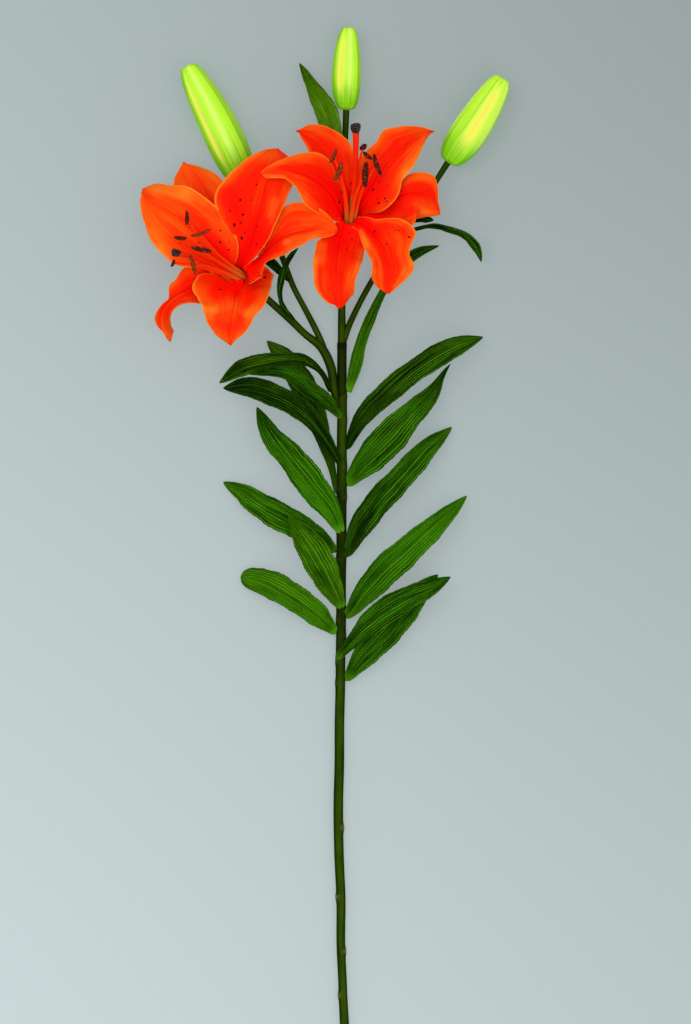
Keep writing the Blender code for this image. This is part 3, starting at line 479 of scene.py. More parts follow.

# Stage: the floor's tone and its painted shade that falls to the right and upwards, the lights' place,
# size and share of the key light's power, and the sky's colour and strength.
FLOOR_TONE, FLOOR_EAST, FLOOR_NORTH = 0.508, 0.104, 0.172
FLOOR_HALF = 4.0  # half its width, in metres as the lights' places and sizes are
LIGHTS = {
    "key_light": ((-0.7, 0.7, 1.9), 1.5, 1.0),
    "fill_light": ((0.9, -0.5, 1.8), 1.6, 0.5),
}
LIGHT_AIM = (0.0, 0.05, 0.0)
SKY_COLOUR = (0.95, 0.98, 1.0, 1.0)
SKY_STRENGTH = 0.84
CAMERA_REACH = 5.0  # how far the camera sees, over its height


def on_plan(pixel_x, pixel_y):
    """Where a pixel of the photograph lies in the frame, in millimetres."""
    return (pixel_x - ORIGIN_PIXEL[0]) * PIXEL, (ORIGIN_PIXEL[1] - pixel_y) * PIXEL


class StemSettings(bpy.types.PropertyGroup):
    """Green of the stem and the stalks."""

    colour: FloatVectorProperty(
        name="Skin", description="Colour of the stem's skin", subtype="COLOR", min=0, max=1,
        default=(0.037, 0.083, 0.0004))
    # The shaded skin is also the painted shade on the stem's sides and among the leaves.
    dark: FloatVectorProperty(
        name="Shaded skin", description="Darker skin between the ridges", subtype="COLOR", min=0, max=1,
        default=(0.009, 0.022, 0.0002))
    scar: FloatVectorProperty(
        name="Scar", description="Colour of an old leaf base", subtype="COLOR", min=0, max=1,
        default=(0.24, 0.22, 0.07))
    sleeve: FloatVectorProperty(
        name="Sleeve", description="Colour of the band round the centre stalk", subtype="COLOR",
        min=0, max=1, default=(0.006, 0.009, 0.001))
    blush: FloatVectorProperty(
        name="Blush", description="Orange of a stalk's end inside a flower", subtype="COLOR",
        min=0, max=1, default=(0.62, 0.030, 0.001))


class LeafSettings(bpy.types.PropertyGroup):
    """Greens and waviness of the leaves."""

    dark: FloatVectorProperty(
        name="Dark green", description="Darkest green of a leaf", subtype="COLOR", min=0, max=1,
        default=(0.0016, 0.010, 0.0003))
    bright: FloatVectorProperty(
        name="Bright green", description="Brightest green between the veins", subtype="COLOR",
        min=0, max=1, default=(0.028, 0.150, 0.0008))
    olive: FloatVectorProperty(
        name="Olive green", description="Green of the more olive leaves", subtype="COLOR", min=0, max=1,
        default=(0.070, 0.130, 0.0008))
    # The vein colour is also the painted highlight on the veins' ridges and on the crinkles.
    vein: FloatVectorProperty(
        name="Vein", description="Colour of the parallel veins", subtype="COLOR", min=0, max=1,
        default=(0.20, 0.60, 0.012))
    wave: FloatProperty(
        name="Edge wave", description="Height of the waves along a leaf's edges", subtype="DISTANCE",
        default=0.0012, min=0.0, max=0.006)
    thickness: FloatProperty(
        name="Thickness", description="Thickness of a leaf", subtype="DISTANCE", default=0.0006,
        min=0.0002, max=0.002)


class PetalSettings(bpy.types.PropertyGroup):
    """Oranges and waviness of the petals."""

    throat: FloatVectorProperty(
        name="Throat", description="Red at the throat and along the midrib", subtype="COLOR",
        min=0, max=1, default=(0.99, 0.002, 0.0))
    blade: FloatVectorProperty(
        name="Blade", description="Main orange-red of a petal", subtype="COLOR", min=0, max=1,
        default=(1.0, 0.011, 0.0))
    rim: FloatVectorProperty(
        name="Rim", description="Lighter orange towards the edges", subtype="COLOR", min=0, max=1,
        default=(1.0, 0.100, 0.003))
    spot: FloatVectorProperty(
        name="Spot", description="Dark maroon of the spots", subtype="COLOR", min=0, max=1,
        default=(0.05, 0.002, 0.002))
    wave: FloatProperty(
        name="Edge wave", description="Height of the waves along a petal's edges", subtype="DISTANCE",
        default=0.0015, min=0.0, max=0.006)
    thickness: FloatProperty(
        name="Thickness", description="Thickness of a petal", subtype="DISTANCE", default=0.0005,
        min=0.0002, max=0.002)


class BudSettings(bpy.types.PropertyGroup):
    """Greens and yellows of the closed buds."""

    green: FloatVectorProperty(
        name="Green", description="Lime green of a bud", subtype="COLOR", min=0, max=1,
        default=(0.50, 0.90, 0.035))
    # The shaded green is also the painted shade on a bud's flanks; at the base it is a deeper green.
    shade: FloatVectorProperty(
        name="Shaded green", description="Deeper green at the sides and base", subtype="COLOR",
        min=0, max=1, default=(0.16, 0.52, 0.001))
    seam: FloatVectorProperty(
        name="Seam", description="Yellow-orange along a seam", subtype="COLOR", min=0, max=1,
        default=(0.95, 0.66, 0.05))


class StageSettings(bpy.types.PropertyGroup):
    """Floor, light and camera."""

    floor: FloatVectorProperty(
        name="Floor", description="Pale colour of the floor", subtype="COLOR", min=0, max=1,
        default=(0.475, 0.553, 0.548))
    height: FloatProperty(
        name="Camera height", description="Height of the camera over the floor", subtype="DISTANCE",
        default=20.0, min=2.0, max=60.0)
    key: FloatProperty(
        name="Key light", description="Power of the large soft light", subtype="POWER", default=11.5,
        min=0.0, max=200.0)
    glow: FloatProperty(
        name="Floor glow", description="Light that the floor gives off, which softens the shadows",
        default=1.5, min=0.0, max=4.0)


class Wire:
    """An output of a node tree. Sums and products of wires and numbers add Math nodes."""

    def __init__(self, tree, socket=None):
        self.tree = tree
        self.socket = socket

    def node(self, kind, inputs=None, output=0, **settings):
        """Add a node: first its settings, then its sockets' values or links."""
        made = self.tree.nodes.new(kind)
        for key, value in settings.items():
            setattr(made, key, value)
        for key, value in (inputs or {}).items():
            if isinstance(value, Wire):
                self.tree.links.new(value.socket, made.inputs[key])
            elif value is not None:
                made.inputs[key].default_value = value
        return Wire(self.tree, made.outputs[output])

    def math(self, operation, first, second=None):
        return self.node("ShaderNodeMath", {0: first, 1: second}, operation=operation)

    def __add__(self, other):
        return self.math("ADD", self, other)

    def __sub__(self, other):
        return self.math("SUBTRACT", self, other)

    def __mul__(self, other):
        return self.math("MULTIPLY", self, other)

    def __neg__(self):
        return self.math("MULTIPLY", self, -1.0)

    def __abs__(self):
        return self.math("ABSOLUTE", self)

    def __radd__(self, other):
        return self.math("ADD", other, self)

    def __rsub__(self, other):
        return self.math("SUBTRACT", other, self)

    def __rmul__(self, other):
        return self.math("MULTIPLY", other, self)

    def field(self, name):
        """A value that the mesh holds at each point."""
        return self.node("ShaderNodeAttribute", output="Fac", attribute_name=name)

    def step(self, low, high):
        """0 below low and 1 above high, with a soft slope between."""
        return self.node(
            "ShaderNodeMapRange", {"Value": self, "From Min": low, "From Max": high},
            interpolation_type="SMOOTHSTEP")

    def wave(self, turns):
        """The cosine of a number of turns."""
        return self.math("COSINE", self * (turns * TURN))

    def noise(self, x, y, z, scale=1.0, detail=3.0, roughness=0.55):
        """Noise from 0 to 1 over three coordinates."""
        place = self.node("ShaderNodeCombineXYZ", {0: x, 1: y, 2: z})
        return self.node("ShaderNodeTexNoise", {
            "Vector": place, "Scale": scale, "Detail": detail, "Roughness": roughness})

    def fibres(self, fine, long, **settings):
        """Noise on a tube, from how fine it is round the tube and along it."""
        x, y = self.field("turn_x") * fine, self.field("turn_y") * fine
        return self.noise(x, y, self.field("along") * long, **settings)

    def grains(self, scale, detail):
        """Even noise over an object's own space."""
        place = self.node("ShaderNodeTexCoord", output="Object")
        return self.node("ShaderNodeTexNoise", {"Vector": place, "Scale": scale, "Detail": detail})

    def blend(self, first, second):
        """A colour between two colours, with this wire as the factor."""
        return self.node(
            "ShaderNodeMix", {0: self, 6: rgba(first), 7: rgba(second)}, output=2, data_type="RGBA")

    def bump(self, distance, strength):
        """A surface normal raised by this wire's height."""
        return self.node("ShaderNodeBump", {"Height": self, "Distance": distance, "Strength": strength})


def rgba(colour):
    """A colour as a node's socket takes it."""
    return colour if isinstance(colour, Wire) else (*colour, 1.0)


def new_finish(name, make, constants=None):
    """A material: make gives its Base Color, Roughness and Normal, and constants go on the shader."""
    material = bpy.data.materials.new(name)
    material.use_nodes = True
    tree = material.node_tree
    shader = tree.nodes["Principled BSDF"]
    for key, value in (constants or {}).items():
        shader.inputs[key].default_value = value
    for key, value in make(Wire(tree)).items():
        if isinstance(value, Wire):
            tree.links.new(value.socket, shader.inputs[key])
        else:
            shader.inputs[key].default_value = value
    return material


def petal_finish(name, settings, paleness):
    """Orange-red petal skin: redder at the throat and midrib, lighter at its edges, with painted
    highlights on its folds and rim and painted shade in its folds and deep in the throat.
    """

    def make(wire):
        along = wire.field("along")
        across = wire.field("across")
        reach = wire.field("reach")
        seed = wire.field("seed")
        edge = abs(across)
        streaks = wire.noise(across * 5.0, along * 1.1, seed, detail=4.0, roughness=0.6)
        fibres = wire.noise(across * 34.0, along * 2.2, seed, detail=2.0)
        clouds = wire.noise(across * 1.6, along * 2.6, seed * 1.7, detail=2.0)
        tone = edge.step(0.35, 1.05) * 0.5 + (streaks - 0.5) * 1.2 + (clouds - 0.5) * 1.2
        tone = tone + along.step(0.4, 0.95) * 0.2 + (fibres - 0.5) * 0.5
        tone = tone + wire.field("shade") + paleness - 0.12
        body = tone.step(0.05, 0.95).blend(settings.blade, settings.rim)
        deep = (1 - along.step(0.1, 0.7)) * 0.8 + (1 - abs(reach).step(0.0, 9.0)) * 0.4
        body = deep.step(0.1, 1.1).blend(body, settings.throat)
        # The glow field: painted highlights where light catches a fold, and deeper red that is partly
        # painted shade in the folds.
        glow = wire.field("glow") * (streaks * 1.1 + fibres * 0.6 - 0.1)
        body = glow.step(0.0, 2.0).blend(body, (1.0, 0.24, 0.016))
        body = (-glow).step(0.0, 1.1).blend(body, settings.throat)
        rib = (1 - abs(reach).step(0.0, 0.9)) * (1 - along.step(0.6, 0.97))
        body = (rib * 0.35).blend(body, (0.55, 0.002, 0.0))
        lines = (reach + (fibres - 0.5) * 0.8).wave(1 / 2.9).step(0.35, 1.0)
        lines = lines * (1 - abs(reach).step(3.0, 8.5))
        lines = lines * along.step(0.12, 0.3) * (1 - along.step(0.55, 0.9))
        body = (lines * clouds.step(0.3, 0.7) * 0.4).blend(body, (0.74, 0.003, 0.0))
        # Painted highlight along the thin rim, where light shines through the edge.
        margin = (edge.step(0.93, 0.99) * 0.6).blend(body, (1.0, 0.34, 0.03))
        # Painted shade deep in the throat, at the petal's foot.
        foot = (1 - along.step(0.0, 0.10)).blend(margin, (0.30, 0.012, 0.0))
        tip = along.step(0.985, 1.0) * (1 - edge.step(0.2, 0.9))
        skin = fibres + wire.noise(across * 90.0, along * 4.0, seed) * 0.6 - lines * 0.6
        return {
            "Base Color": (tip * 0.5).blend(foot, (0.32, 0.05, 0.01)),
            "Roughness": 0.46 + fibres * 0.16,
            "Normal": skin.bump(0.0004, 0.4),
        }

    return new_finish(name, make, {
        "Specular IOR Level": 0.03, "Subsurface Weight": 0.1, "Subsurface Scale": 0.003})


def leaf_finish(name, settings, paleness):
    """Leaf skin: deep green with brighter parallel veins, partly painted highlight on their ridges, and
    painted highlights on the crinkles.
    """

    def make(wire):
        along = wire.field("along")
        across = wire.field("across")
        seed = wire.field("seed")
        shade = wire.field("shade")
        sway = (wire.noise(along * 1.4, across * 1.0, seed) - 0.5) * 0.12
        bent = across + sway * (1 - along * 0.5)
        patches = wire.noise(across * 1.6, along * 4.0, seed, detail=3.0, roughness=0.65)
        threads = wire.noise(across * 30.0, along * 1.2, seed, detail=2.0)
        strong = wire.noise(across * 7.0, along * 1.6, seed + 7.0, detail=2.0)
        crinkle_highlights = wire.noise(across * 5.0, along * 12.0, seed + 3.0, detail=2.0).step(0.56, 0.78)
        ribs = bent.wave(5.5).step(0.89, 1.0)
        hairs = bent.wave(16.5).step(0.6, 1.0)
        olive = wire.field("olive")
        bright = (olive * 0.8).blend(settings.bright, settings.olive)
        tone = (patches - 0.5) * 1.5 + shade * 0.9 + (threads - 0.5) * 1.4 - 0.01 + paleness
        body = tone.step(0.0, 1.0).blend(settings.dark, bright)
        body = tone.step(1.0, 1.6).blend(body, (0.14, 0.32, 0.02))
        # Bright veins, partly their own colour and partly painted highlight on their ridges, and painted
        # highlights on the crinkles.
        lit = (ribs * 1.1 + hairs * 0.3) * strong.step(0.32, 0.58) + crinkle_highlights * strong * 0.25
        lit = lit * (patches * 0.7 + shade * 0.8 + 0.16)
        body = lit.step(0.0, 1.0).blend(body, settings.vein)
        trough = (1 - abs(across).step(0.0, 0.06)) * (1 - along.step(0.7, 1.0))
        body = (trough * 0.6).blend(body, olive.blend(settings.dark, settings.olive))
        margin = abs(across).step(0.94, 1.0)
        body = (margin * 0.5).blend(body, (0.02, 0.09, 0.002))
        foot = (1 - along.step(0.0, 0.09)) * shade
        height = ribs * 0.9 + threads * 0.9 + wire.noise(across * 60.0, along * 14.0, seed) * 0.5
        return {
            "Base Color": (foot * 0.9).blend(body, (0.14, 0.42, 0.01)),
            "Roughness": 0.4 + threads * 0.2,
            "Normal": height.bump(0.0006, 0.7),
        }

    return new_finish(name, make, {"Specular IOR Level": 0.01})


def stem_finish(settings):
    """Olive green skin with faint ridges, tiny dark specks, paler scars and cut, and the dark sleeve,
    with a painted highlight along its top and painted shadow where the leaves stand.
    """

    def make(wire):
        along = wire.field("along")
        ridges = wire.fibres(5.0, 0.02)
        patches = wire.fibres(0.8, 0.05)
        specks = wire.fibres(7.0, 0.9, detail=1.0)
        # Painted highlight along the stem's upward side.
        top = wire.field("turn_y").step(0.55, 1.0)
        # Painted shadow on the stem where the leaves stand.
        painted_leaf_shadow = along.step(-130.0, -60.0) * (1 - along.step(0.0, 80.0))
        tone = ridges * 0.4 + patches * 0.8 - 0.45 + top * 0.4 - painted_leaf_shadow * 0.28
        body = tone.step(0.1, 0.9).blend(settings.dark, settings.colour)
        body = (specks.step(0.66, 0.74) * 0.7).blend(body, (0.008, 0.010, 0.003))
        body = wire.field("scar").blend(body, settings.scar)
        body = wire.field("sleeve").blend(body, settings.sleeve)
        body = wire.field("blush").blend(body, settings.blush)
        height = ridges + specks * 0.3
        return {
            "Base Color": wire.field("cut").blend(body, (0.42, 0.48, 0.16)),
            "Roughness": 0.38 + patches * 0.2,
            "Normal": height.bump(0.0004, 0.4),
        }

    return new_finish("Stem skin", make, {"Specular IOR Level": 0.015})


def bud_finish(settings):
    """Lime green bud skin with yellow-orange seams, a painted highlight along the keel and painted shade
    in the crease of each closed petal, and painted shade at its flanks.
    """

    def make(wire):
        along = wire.field("along")
        seam = wire.field("seam")
        keel = wire.field("keel")
        crease = wire.field("crease")
        side = wire.field("side")
        fibres = wire.fibres(12.0, 1.2)
        clouds = wire.fibres(1.4, 3.0)
        # side: painted shade on the bud's flanks; the base is a deeper green.
        tone = side * 0.70 + (1 - along.step(0.0, 0.55)) * 0.75
        tone = tone + (fibres - 0.5) * 1.5 + (clouds - 0.5) * 0.9
        body = tone.step(0.0, 1.1).blend(settings.green, settings.shade)
        # Painted highlight along each keel.
        body = (keel * 0.6).blend(body, (0.82, 1.0, 0.22))
        # Painted shade in each crease under the next petal's edge.
        body = (crease * 0.75).blend(body, (0.16, 0.34, 0.002))
        streak = seam * (fibres * 0.9 + 0.5)
        body = (streak * 0.95).blend(body, (0.93, 0.93, 0.14))
        return {
            "Base Color": streak.step(0.55, 1.4).blend(body, settings.seam),
            "Roughness": 0.34 + fibres * 0.15,
            "Normal": fibres.bump(0.0004, 0.3),
        }

    return new_finish("Bud skin", make, {
        "Specular IOR Level": 0.08, "Subsurface Weight": 0.1, "Subsurface Scale": 0.005})


def filament_finish():
    """Orange-red filament with a tan-olive foot."""

    def make(wire):
        along = wire.field("along")
        fibres = wire.fibres(6.0, 3.0)
        body = fibres.step(0.2, 0.8).blend((0.90, 0.014, 0.0), (1.0, 0.060, 0.002))
        foot = 1 - along.step(0.08, 0.42)
        return {
            "Base Color": (foot * 0.9).blend(body, (0.55, 0.14, 0.012)),
            "Roughness": 0.35 + fibres * 0.1,
            "Normal": fibres.bump(0.0002, 0.3),
        }

    return new_finish("Filament skin", make, {"Specular IOR Level": 0.05})


def anther_finish(name, dark, light):
    """Powdery pollen with ochre flecks, from near-black to red-brown."""

    def make(wire):
        grains = wire.grains(900.0, 3.0)
        flecks = wire.grains(420.0, 2.0)
        body = grains.step(0.35, 0.7).blend(dark, light)
        return {
            "Base Color": (flecks.step(0.58, 0.72) * 0.7).blend(body, (0.40, 0.13, 0.03)),
            "Roughness": 0.85,
            "Normal": grains.bump(0.0005, 0.8),
        }

    return new_finish(name, make, {"Specular IOR Level": 0.03})


def style_finish():
    """Orange-red style over a green ovary."""

    def make(wire):
        along = wire.field("along")
        fibres = wire.fibres(4.0, 3.0)
        body = fibres.step(0.2, 0.8).blend((0.80, 0.004, 0.0), (0.98, 0.030, 0.001))
        neck = along.step(0.84, 0.93)
        ovary = 1 - along.step(0.22, 0.34)
        body = (neck * 0.6).blend(body, (0.65, 0.05, 0.01))
        return {
            "Base Color": ovary.blend(body, (0.30, 0.16, 0.015)),
            "Roughness": 0.32 + fibres * 0.12,
            "Normal": fibres.bump(0.0002, 0.3),
        }

    return new_finish("Style skin", make, {"Specular IOR Level": 0.05})


def stigma_finish():
    """Near-black grey-brown stigma with pale, sticky grains."""

    def make(wire):
        grains = wire.grains(700.0, 3.0)
        body = grains.step(0.50, 0.80).blend((0.007, 0.004, 0.003), (0.22, 0.16, 0.14))
        return {"Base Color": body, "Roughness": 0.42, "Normal": grains.bump(0.0006, 0.8)}

    return new_finish("Stigma", make, {"Specular IOR Level": 0.15, "Coat Weight": 0.04})


def spot_finish(settings):
    """Dark maroon spot."""

    def make(wire):
        body = wire.grains(600.0, 2.0).step(0.4, 0.9).blend(settings.spot, (0.20, 0.005, 0.002))
        return {"Base Color": body, "Roughness": 0.5}

    return new_finish("Petal spot", make, {"Specular IOR Level": 0.03})


def floor_finish(settings):
    """Pale floor with a faint grain, with painted shade a little darker to the right and upwards, and a
    glow that softens the shadows.
    """

    def make(wire):
        place = wire.node("ShaderNodeTexCoord", output="Object")
        east = wire.node("ShaderNodeSeparateXYZ", {0: place}, output=0).step(-0.5, 0.5)
        north = wire.node("ShaderNodeSeparateXYZ", {0: place}, output=1).step(-0.65, 0.65)
        # Painted shade: darker to the right and upwards.
        tone = FLOOR_TONE + wire.grains(220.0, 3.0) * 0.012 - east * FLOOR_EAST - north * FLOOR_NORTH
        colour = wire.node(
            "ShaderNodeVectorMath", {0: tuple(settings.floor), 1: tone}, operation="MULTIPLY")
        return {"Base Color": colour, "Roughness": 0.9, "Emission Color": colour}

    return new_finish("Floor", make, {"Specular IOR Level": 0.1, "Emission Strength": settings.glow})


def smooth(value, low, high):
    """0 below low and 1 above high, with a soft slope between."""
    t = np.clip((value - low) / (high - low), 0, 1)
    return t * t * (3 - 2 * t)


def band(value, start, full, fade, end):
    """1 from full to fade, with soft slopes from start and to end."""
    return smooth(value, start, full) * (1 - smooth(value, fade, end))


def bell(value, width):
    """1 at nothing, falling away over the width."""
    return np.exp(-((value / width) ** 2))


def unit(vectors):
    """Vectors of length 1."""
    return vectors / np.maximum(np.linalg.norm(vectors, axis=-1, keepdims=True), 1e-9)


def spline(rows, places):
    """Rows of numbers at places from 0 to 1 along a smooth curve through their first three columns."""
    rows = np.array(rows, float)
    steps = np.linalg.norm(np.diff(rows[:, :3], axis=0), axis=1)
    knots = np.concatenate([[0.0], np.cumsum(steps)]) / steps.sum()
    slopes = np.gradient(rows, knots, axis=0)
    i = np.clip(np.searchsorted(knots, places) - 1, 0, len(rows) - 2)
    span = (knots[i + 1] - knots[i])[:, None]
    t = (np.asarray(places)[:, None] - knots[i][:, None]) / span
    return (
        (2 * t**3 - 3 * t**2 + 1) * rows[i]
        + (t**3 - 2 * t**2 + t) * span * slopes[i]
        + (3 * t**2 - 2 * t**3) * rows[i + 1]
        + (t**3 - t**2) * span * slopes[i + 1]
    )


def grid_mesh(name, points, wrap, fields):
    """A mesh over rows and columns of points in millimetres; wrap closes it round and caps its ends."""
    rows, columns = points.shape[:2]
    number = np.arange(rows * columns).reshape(rows, columns)
    if wrap:
        number = np.concatenate([number, number[:, :1]], axis=1)
    faces = np.stack([number[:-1, :-1], number[1:, :-1], number[1:, 1:], number[:-1, 1:]], -1)
    faces = [tuple(face) for face in faces.reshape(-1, 4).tolist()]
    if wrap:
        faces += [tuple(range(columns)), tuple(range((rows - 1) * columns, rows * columns))[::-1]]
    mesh = bpy.data.meshes.new(name)
    mesh.from_pydata((points * MM).reshape(-1, 3).tolist(), [], faces)
    for key, values in fields.items():
        held = mesh.attributes.new(key, "FLOAT", "POINT")
        held.data.foreach_set("value", np.broadcast_to(values, (rows, columns)).ravel().astype(float))
    bm = bmesh.new()
    bm.from_mesh(mesh)
    bmesh.ops.remove_doubles(bm, verts=bm.verts, dist=WELD * MM)
    if wrap:
        bmesh.ops.recalc_face_normals(bm, faces=bm.faces)
    bm.to_mesh(mesh)
    bm.free()
    mesh.shade_smooth()
    return mesh


def add_piece(name, mesh, finishes, node=None):
    """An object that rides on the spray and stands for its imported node."""
    for finish in finishes:
        mesh.materials.append(finish)
    obj = bpy.data.objects.new(name + "_skin", mesh)
    bpy.context.scene.collection.objects.link(obj)
    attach(obj, "root")
    if node:
        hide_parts(node)
    return obj


def streak_field(streaks, points):
    """How strongly the streaks of a petal paint a highlight on each of its points, or deepen it with
    painted shade.
    """
    total = np.zeros(points.shape[:2])
    for *ends, width, strength in streaks:
        start, end = np.array(on_plan(*ends[:2])), np.array(on_plan(*ends[2:]))
        run = end - start
        share = np.clip(((points[..., :2] - start) @ run) / max(run @ run, 1e-9), 0, 1)
        distance = np.linalg.norm(points[..., :2] - start - share[..., None] * run, axis=-1)
        total = total + strength * bell(distance, width * PIXEL * 1.3)
    return total


def blade_grid(stations, roll, cup, side, grid, tip):
    """Centre line, directions and half widths of a leaf or tepal, at each row and column."""
    rows, columns = grid
    places = np.linspace(0, 1, rows + 1)
    line = spline(stations, places)
    along = unit(np.gradient(line[:, :3], axis=0))
    left = unit(np.cross((0.0, 0.0, 1.0), along))
    turned = np.ones((rows + 1, 1))
    if side is not None:
        turned = np.minimum(1.0, places / RING_SHARE)[:, None]
        ease = turned * turned * (3 - 2 * turned)
        left = np.array(side) * (1 - ease) + left * ease
        left = unit(left - along * (left * along).sum(1, keepdims=True))
    up = np.cross(along, left)
    angle = np.radians(roll[0] + (roll[1] - roll[0]) * places)[:, None] * turned
    across = left * np.cos(angle) + up * np.sin(angle)
    rise = up * np.cos(angle) - left * np.sin(angle)
    halves = np.maximum(0.0, line[:, 3:5])
    steps = np.linalg.norm(np.diff(np.array(stations, float)[:, :3], axis=0), axis=1)
    last = 1 - steps[-1] / steps.sum()
    shoulder = np.maximum(0.0, spline(stations, np.array([last]))[0, 3:5])
    within = np.clip((places - last) / (1 - last), 0, 1)[:, None]
    rounded = shoulder * np.sqrt(1 - within**2)
    halves = np.where(within > 0, halves * (1 - tip) + rounded * tip, halves)
    t = np.linspace(-1, 1, columns + 1)
    v = np.sign(t) * np.abs(t) ** 1.3
    half = np.where(v > 0, halves[:, :1], halves[:, 1:])
    lift = (cup[0] + (cup[1] - cup[0]) * places)[:, None]
    return places[:, None], v[None, :], line[:, :3], across, rise, half, lift


def add_blade(name, finishes, stations, grid, relief, thickness, seed, shade=(0.0, 0.0),
              olive=0.0, roll=(0, 0), cup=(0.0, 0.0), side=None, tip=BLADE_TIP, sweep=(0, 0),
              wrap=(0, 0), round_base=False):
    """A leaf or tepal: its surface with its relief, then its thickness."""
    u, v, line, across, rise, half, lift = blade_grid(stations, roll, cup, side, grid, tip)
    if round_base:
        half = half * np.sqrt(1 - (1 - np.minimum(1.0, 0.02 + u / 0.035)) ** 2)
    reach = v * half
    wobble, height = relief(u, v, half, seed)
    points = line[:, None] + across[:, None] * (reach * wobble)[..., None]
    points = points + rise[:, None] * (lift * half * v * v + height)[..., None]
    swept = np.minimum(1, np.abs(reach) / SWEEP_REACH) ** 1.6
    back = np.where(v > 0, sweep[0], sweep[1]) * swept * (1 - smooth(u, 0.18, 0.6))
    points = points + np.cross(rise, across)[:, None] * back[..., None]
    held = smooth(np.abs(reach), 0, WRAP_REACH) * (1 - smooth(u, 0.15, 0.6))
    points = points + held[..., None] * np.where((v > 0)[..., None], wrap[0], wrap[1])
    # Painted highlights and painted shade of the petal's folds, from its streaks.
    glow = streak_field(STREAKS.get(name, []), points)
    fields = {"along": u, "across": v, "reach": reach, "seed": seed % 97, "glow": glow, "olive": olive,
              "shade": shade[0] + (shade[1] - shade[0]) * u}
    fields = {key: np.broadcast_to(value, half.shape)[:, ::-1] for key, value in fields.items()}
    obj = add_piece(name, grid_mesh(name, points[:, ::-1], False, fields), finishes, name)
    shell = obj.modifiers.new("Thickness", "SOLIDIFY")
    shell.thickness = thickness
    shell.offset = 0
    shell.material_offset = 1
    return obj


def phases(seed, count):
    """Steady random turns for one piece."""
    draw = random.Random(seed)
    return [draw.random() for _ in range(count)]


def ruffle(u, start, slow, quick, share, turn):
    """Waves along an edge: slow ones and a share of quick ones."""
    return np.sin(TURN * (slow * u + start)) + share * np.sin(TURN * (quick * u + 2 * start + turn))


def tepal_relief(wave):
    """A petal's grooved midrib, its veins and its wavy edges, in millimetres."""

    def relief(u, v, half, seed):
        a, b, c, d, e = phases(seed, 5)
        d_mid = v * half
        body = band(u, 0.03, 0.15, 0.75, 0.97)
        rib = body * (0.55 * bell(np.abs(d_mid) - 2.3, 1.3) - 0.9 * bell(d_mid, 1.0))
        veins = 0.11 * np.cos(v * TURN * 6.5 + a) * smooth(u, 0.1, 0.3) * (1 - smooth(np.abs(v), 0.8, 1))
        side = np.where(v > 0, b, c)
        edge = smooth(np.abs(v), 0.4, 1.0) * smooth(u, 0.2, 0.5) * (1 - 0.6 * smooth(u, 0.85, 1))
        waves = wave / MM * edge * ruffle(u, side, 2.1, 4.7, 0.45, d)
        swell = 0.8 * np.sin(TURN * (1.6 * u + e)) * np.sin(math.pi * v) * smooth(u, 0.2, 0.5)
        wobble = 1 + 0.02 * smooth(u, 0.25, 0.5) * np.sin(TURN * (3.3 * u + 3 * side + a))
        return wobble, rib + veins + waves + swell

    return relief


def leaf_relief(wave):
    """A leaf's sunken midrib, raised parallel veins and gently waved edges, in millimetres."""

    def relief(u, v, half, seed):
        a, b, c, d, e = phases(seed, 5)
        d_mid = v * half
        body = band(u, 0.0, 0.1, 0.85, 1.0)
        rib = -0.7 * body * bell(d_mid, 0.9)
        veins = 0.3 * np.cos(v * TURN * 4.5) * body * (1 - smooth(np.abs(v), 0.85, 1))
        side = np.where(v > 0, b, c)
        waves = wave / MM * (smooth(np.abs(v), 0.3, 1.0) * body) * ruffle(u, side, 2.6, 6.3, 0.5, d)
        swell = 0.6 * np.sin(TURN * (2.1 * u + e)) * np.sin(math.pi * v) * body
        dents = np.sin(TURN * (17 * u + 5 * side + b)) * np.sin(TURN * (7.3 * u + c))
        wobble = 1 + body * (0.03 * np.sin(TURN * (4.6 * u + 3 * side + a)) + 0.03 * dents)
        return wobble, rib + veins + waves + swell

    return relief


def tube_grid(rows, count, sides):
    """Centre line, two directions across it and radius of a tube, at each of its rings."""
    line = spline(rows, np.linspace(0, 1, count))
    along = unit(np.gradient(line[:, :3], axis=0))
    over = unit(np.array((0.0, 0.0, 1.0)) - along * along[:, 2:])
    angle = np.linspace(0, TURN, sides, endpoint=False)
    return line[:, :3], np.cross(over, along), over, line[:, 3], angle


def tube_points(line, out, over, size, angle):
    """Points round a tube: size is the radius at each ring and angle."""
    ring = out[:, None] * np.cos(angle)[:, None] + over[:, None] * np.sin(angle)[:, None]
    return line[:, None] + ring * np.broadcast_to(size, (len(line), len(angle)))[..., None]


def add_rings(bm, points, material):
    """A skin over rings of points in millimetres."""
    rings = [[bm.verts.new(Vector(point) * MM) for point in row] for row in points]
    for ring, after in zip(rings, rings[1:]):
        for j, corner in enumerate(ring):
            k = (j + 1) % len(ring)
            bm.faces.new((corner, after[j], after[k], ring[k])).material_index = material


def close_mesh(bm, mesh):
    """Join the points that meet, turn the faces outwards and hand the result to a mesh."""
    bmesh.ops.remove_doubles(bm, verts=bm.verts, dist=WELD * MM)
    bmesh.ops.recalc_face_normals(bm, faces=bm.faces)
    bm.to_mesh(mesh)
    bm.free()
    mesh.shade_smooth()


def tube_fields(along, angle, **others):
    """The values that a tube's mesh holds: the place along it, the direction round it and others."""
    return {"along": along, "turn_x": np.cos(angle)[None], "turn_y": np.sin(angle)[None], **others}


def flower_frame(flower):
    """Throat, axis and the two directions across it."""
    throat = np.array(flower["throat"])
    axis = unit(np.array(flower["axis"]))
    right = unit(np.cross(axis, (0.0, 0.0, 1.0)))
    return throat, axis, right, np.cross(right, axis)


def around(flower, angle):
    """The direction out from a flower's axis at an angle in degrees."""
    _, _, right, over = flower_frame(flower)
    turn = math.radians(angle)
    return right * math.cos(turn) + over * math.sin(turn)


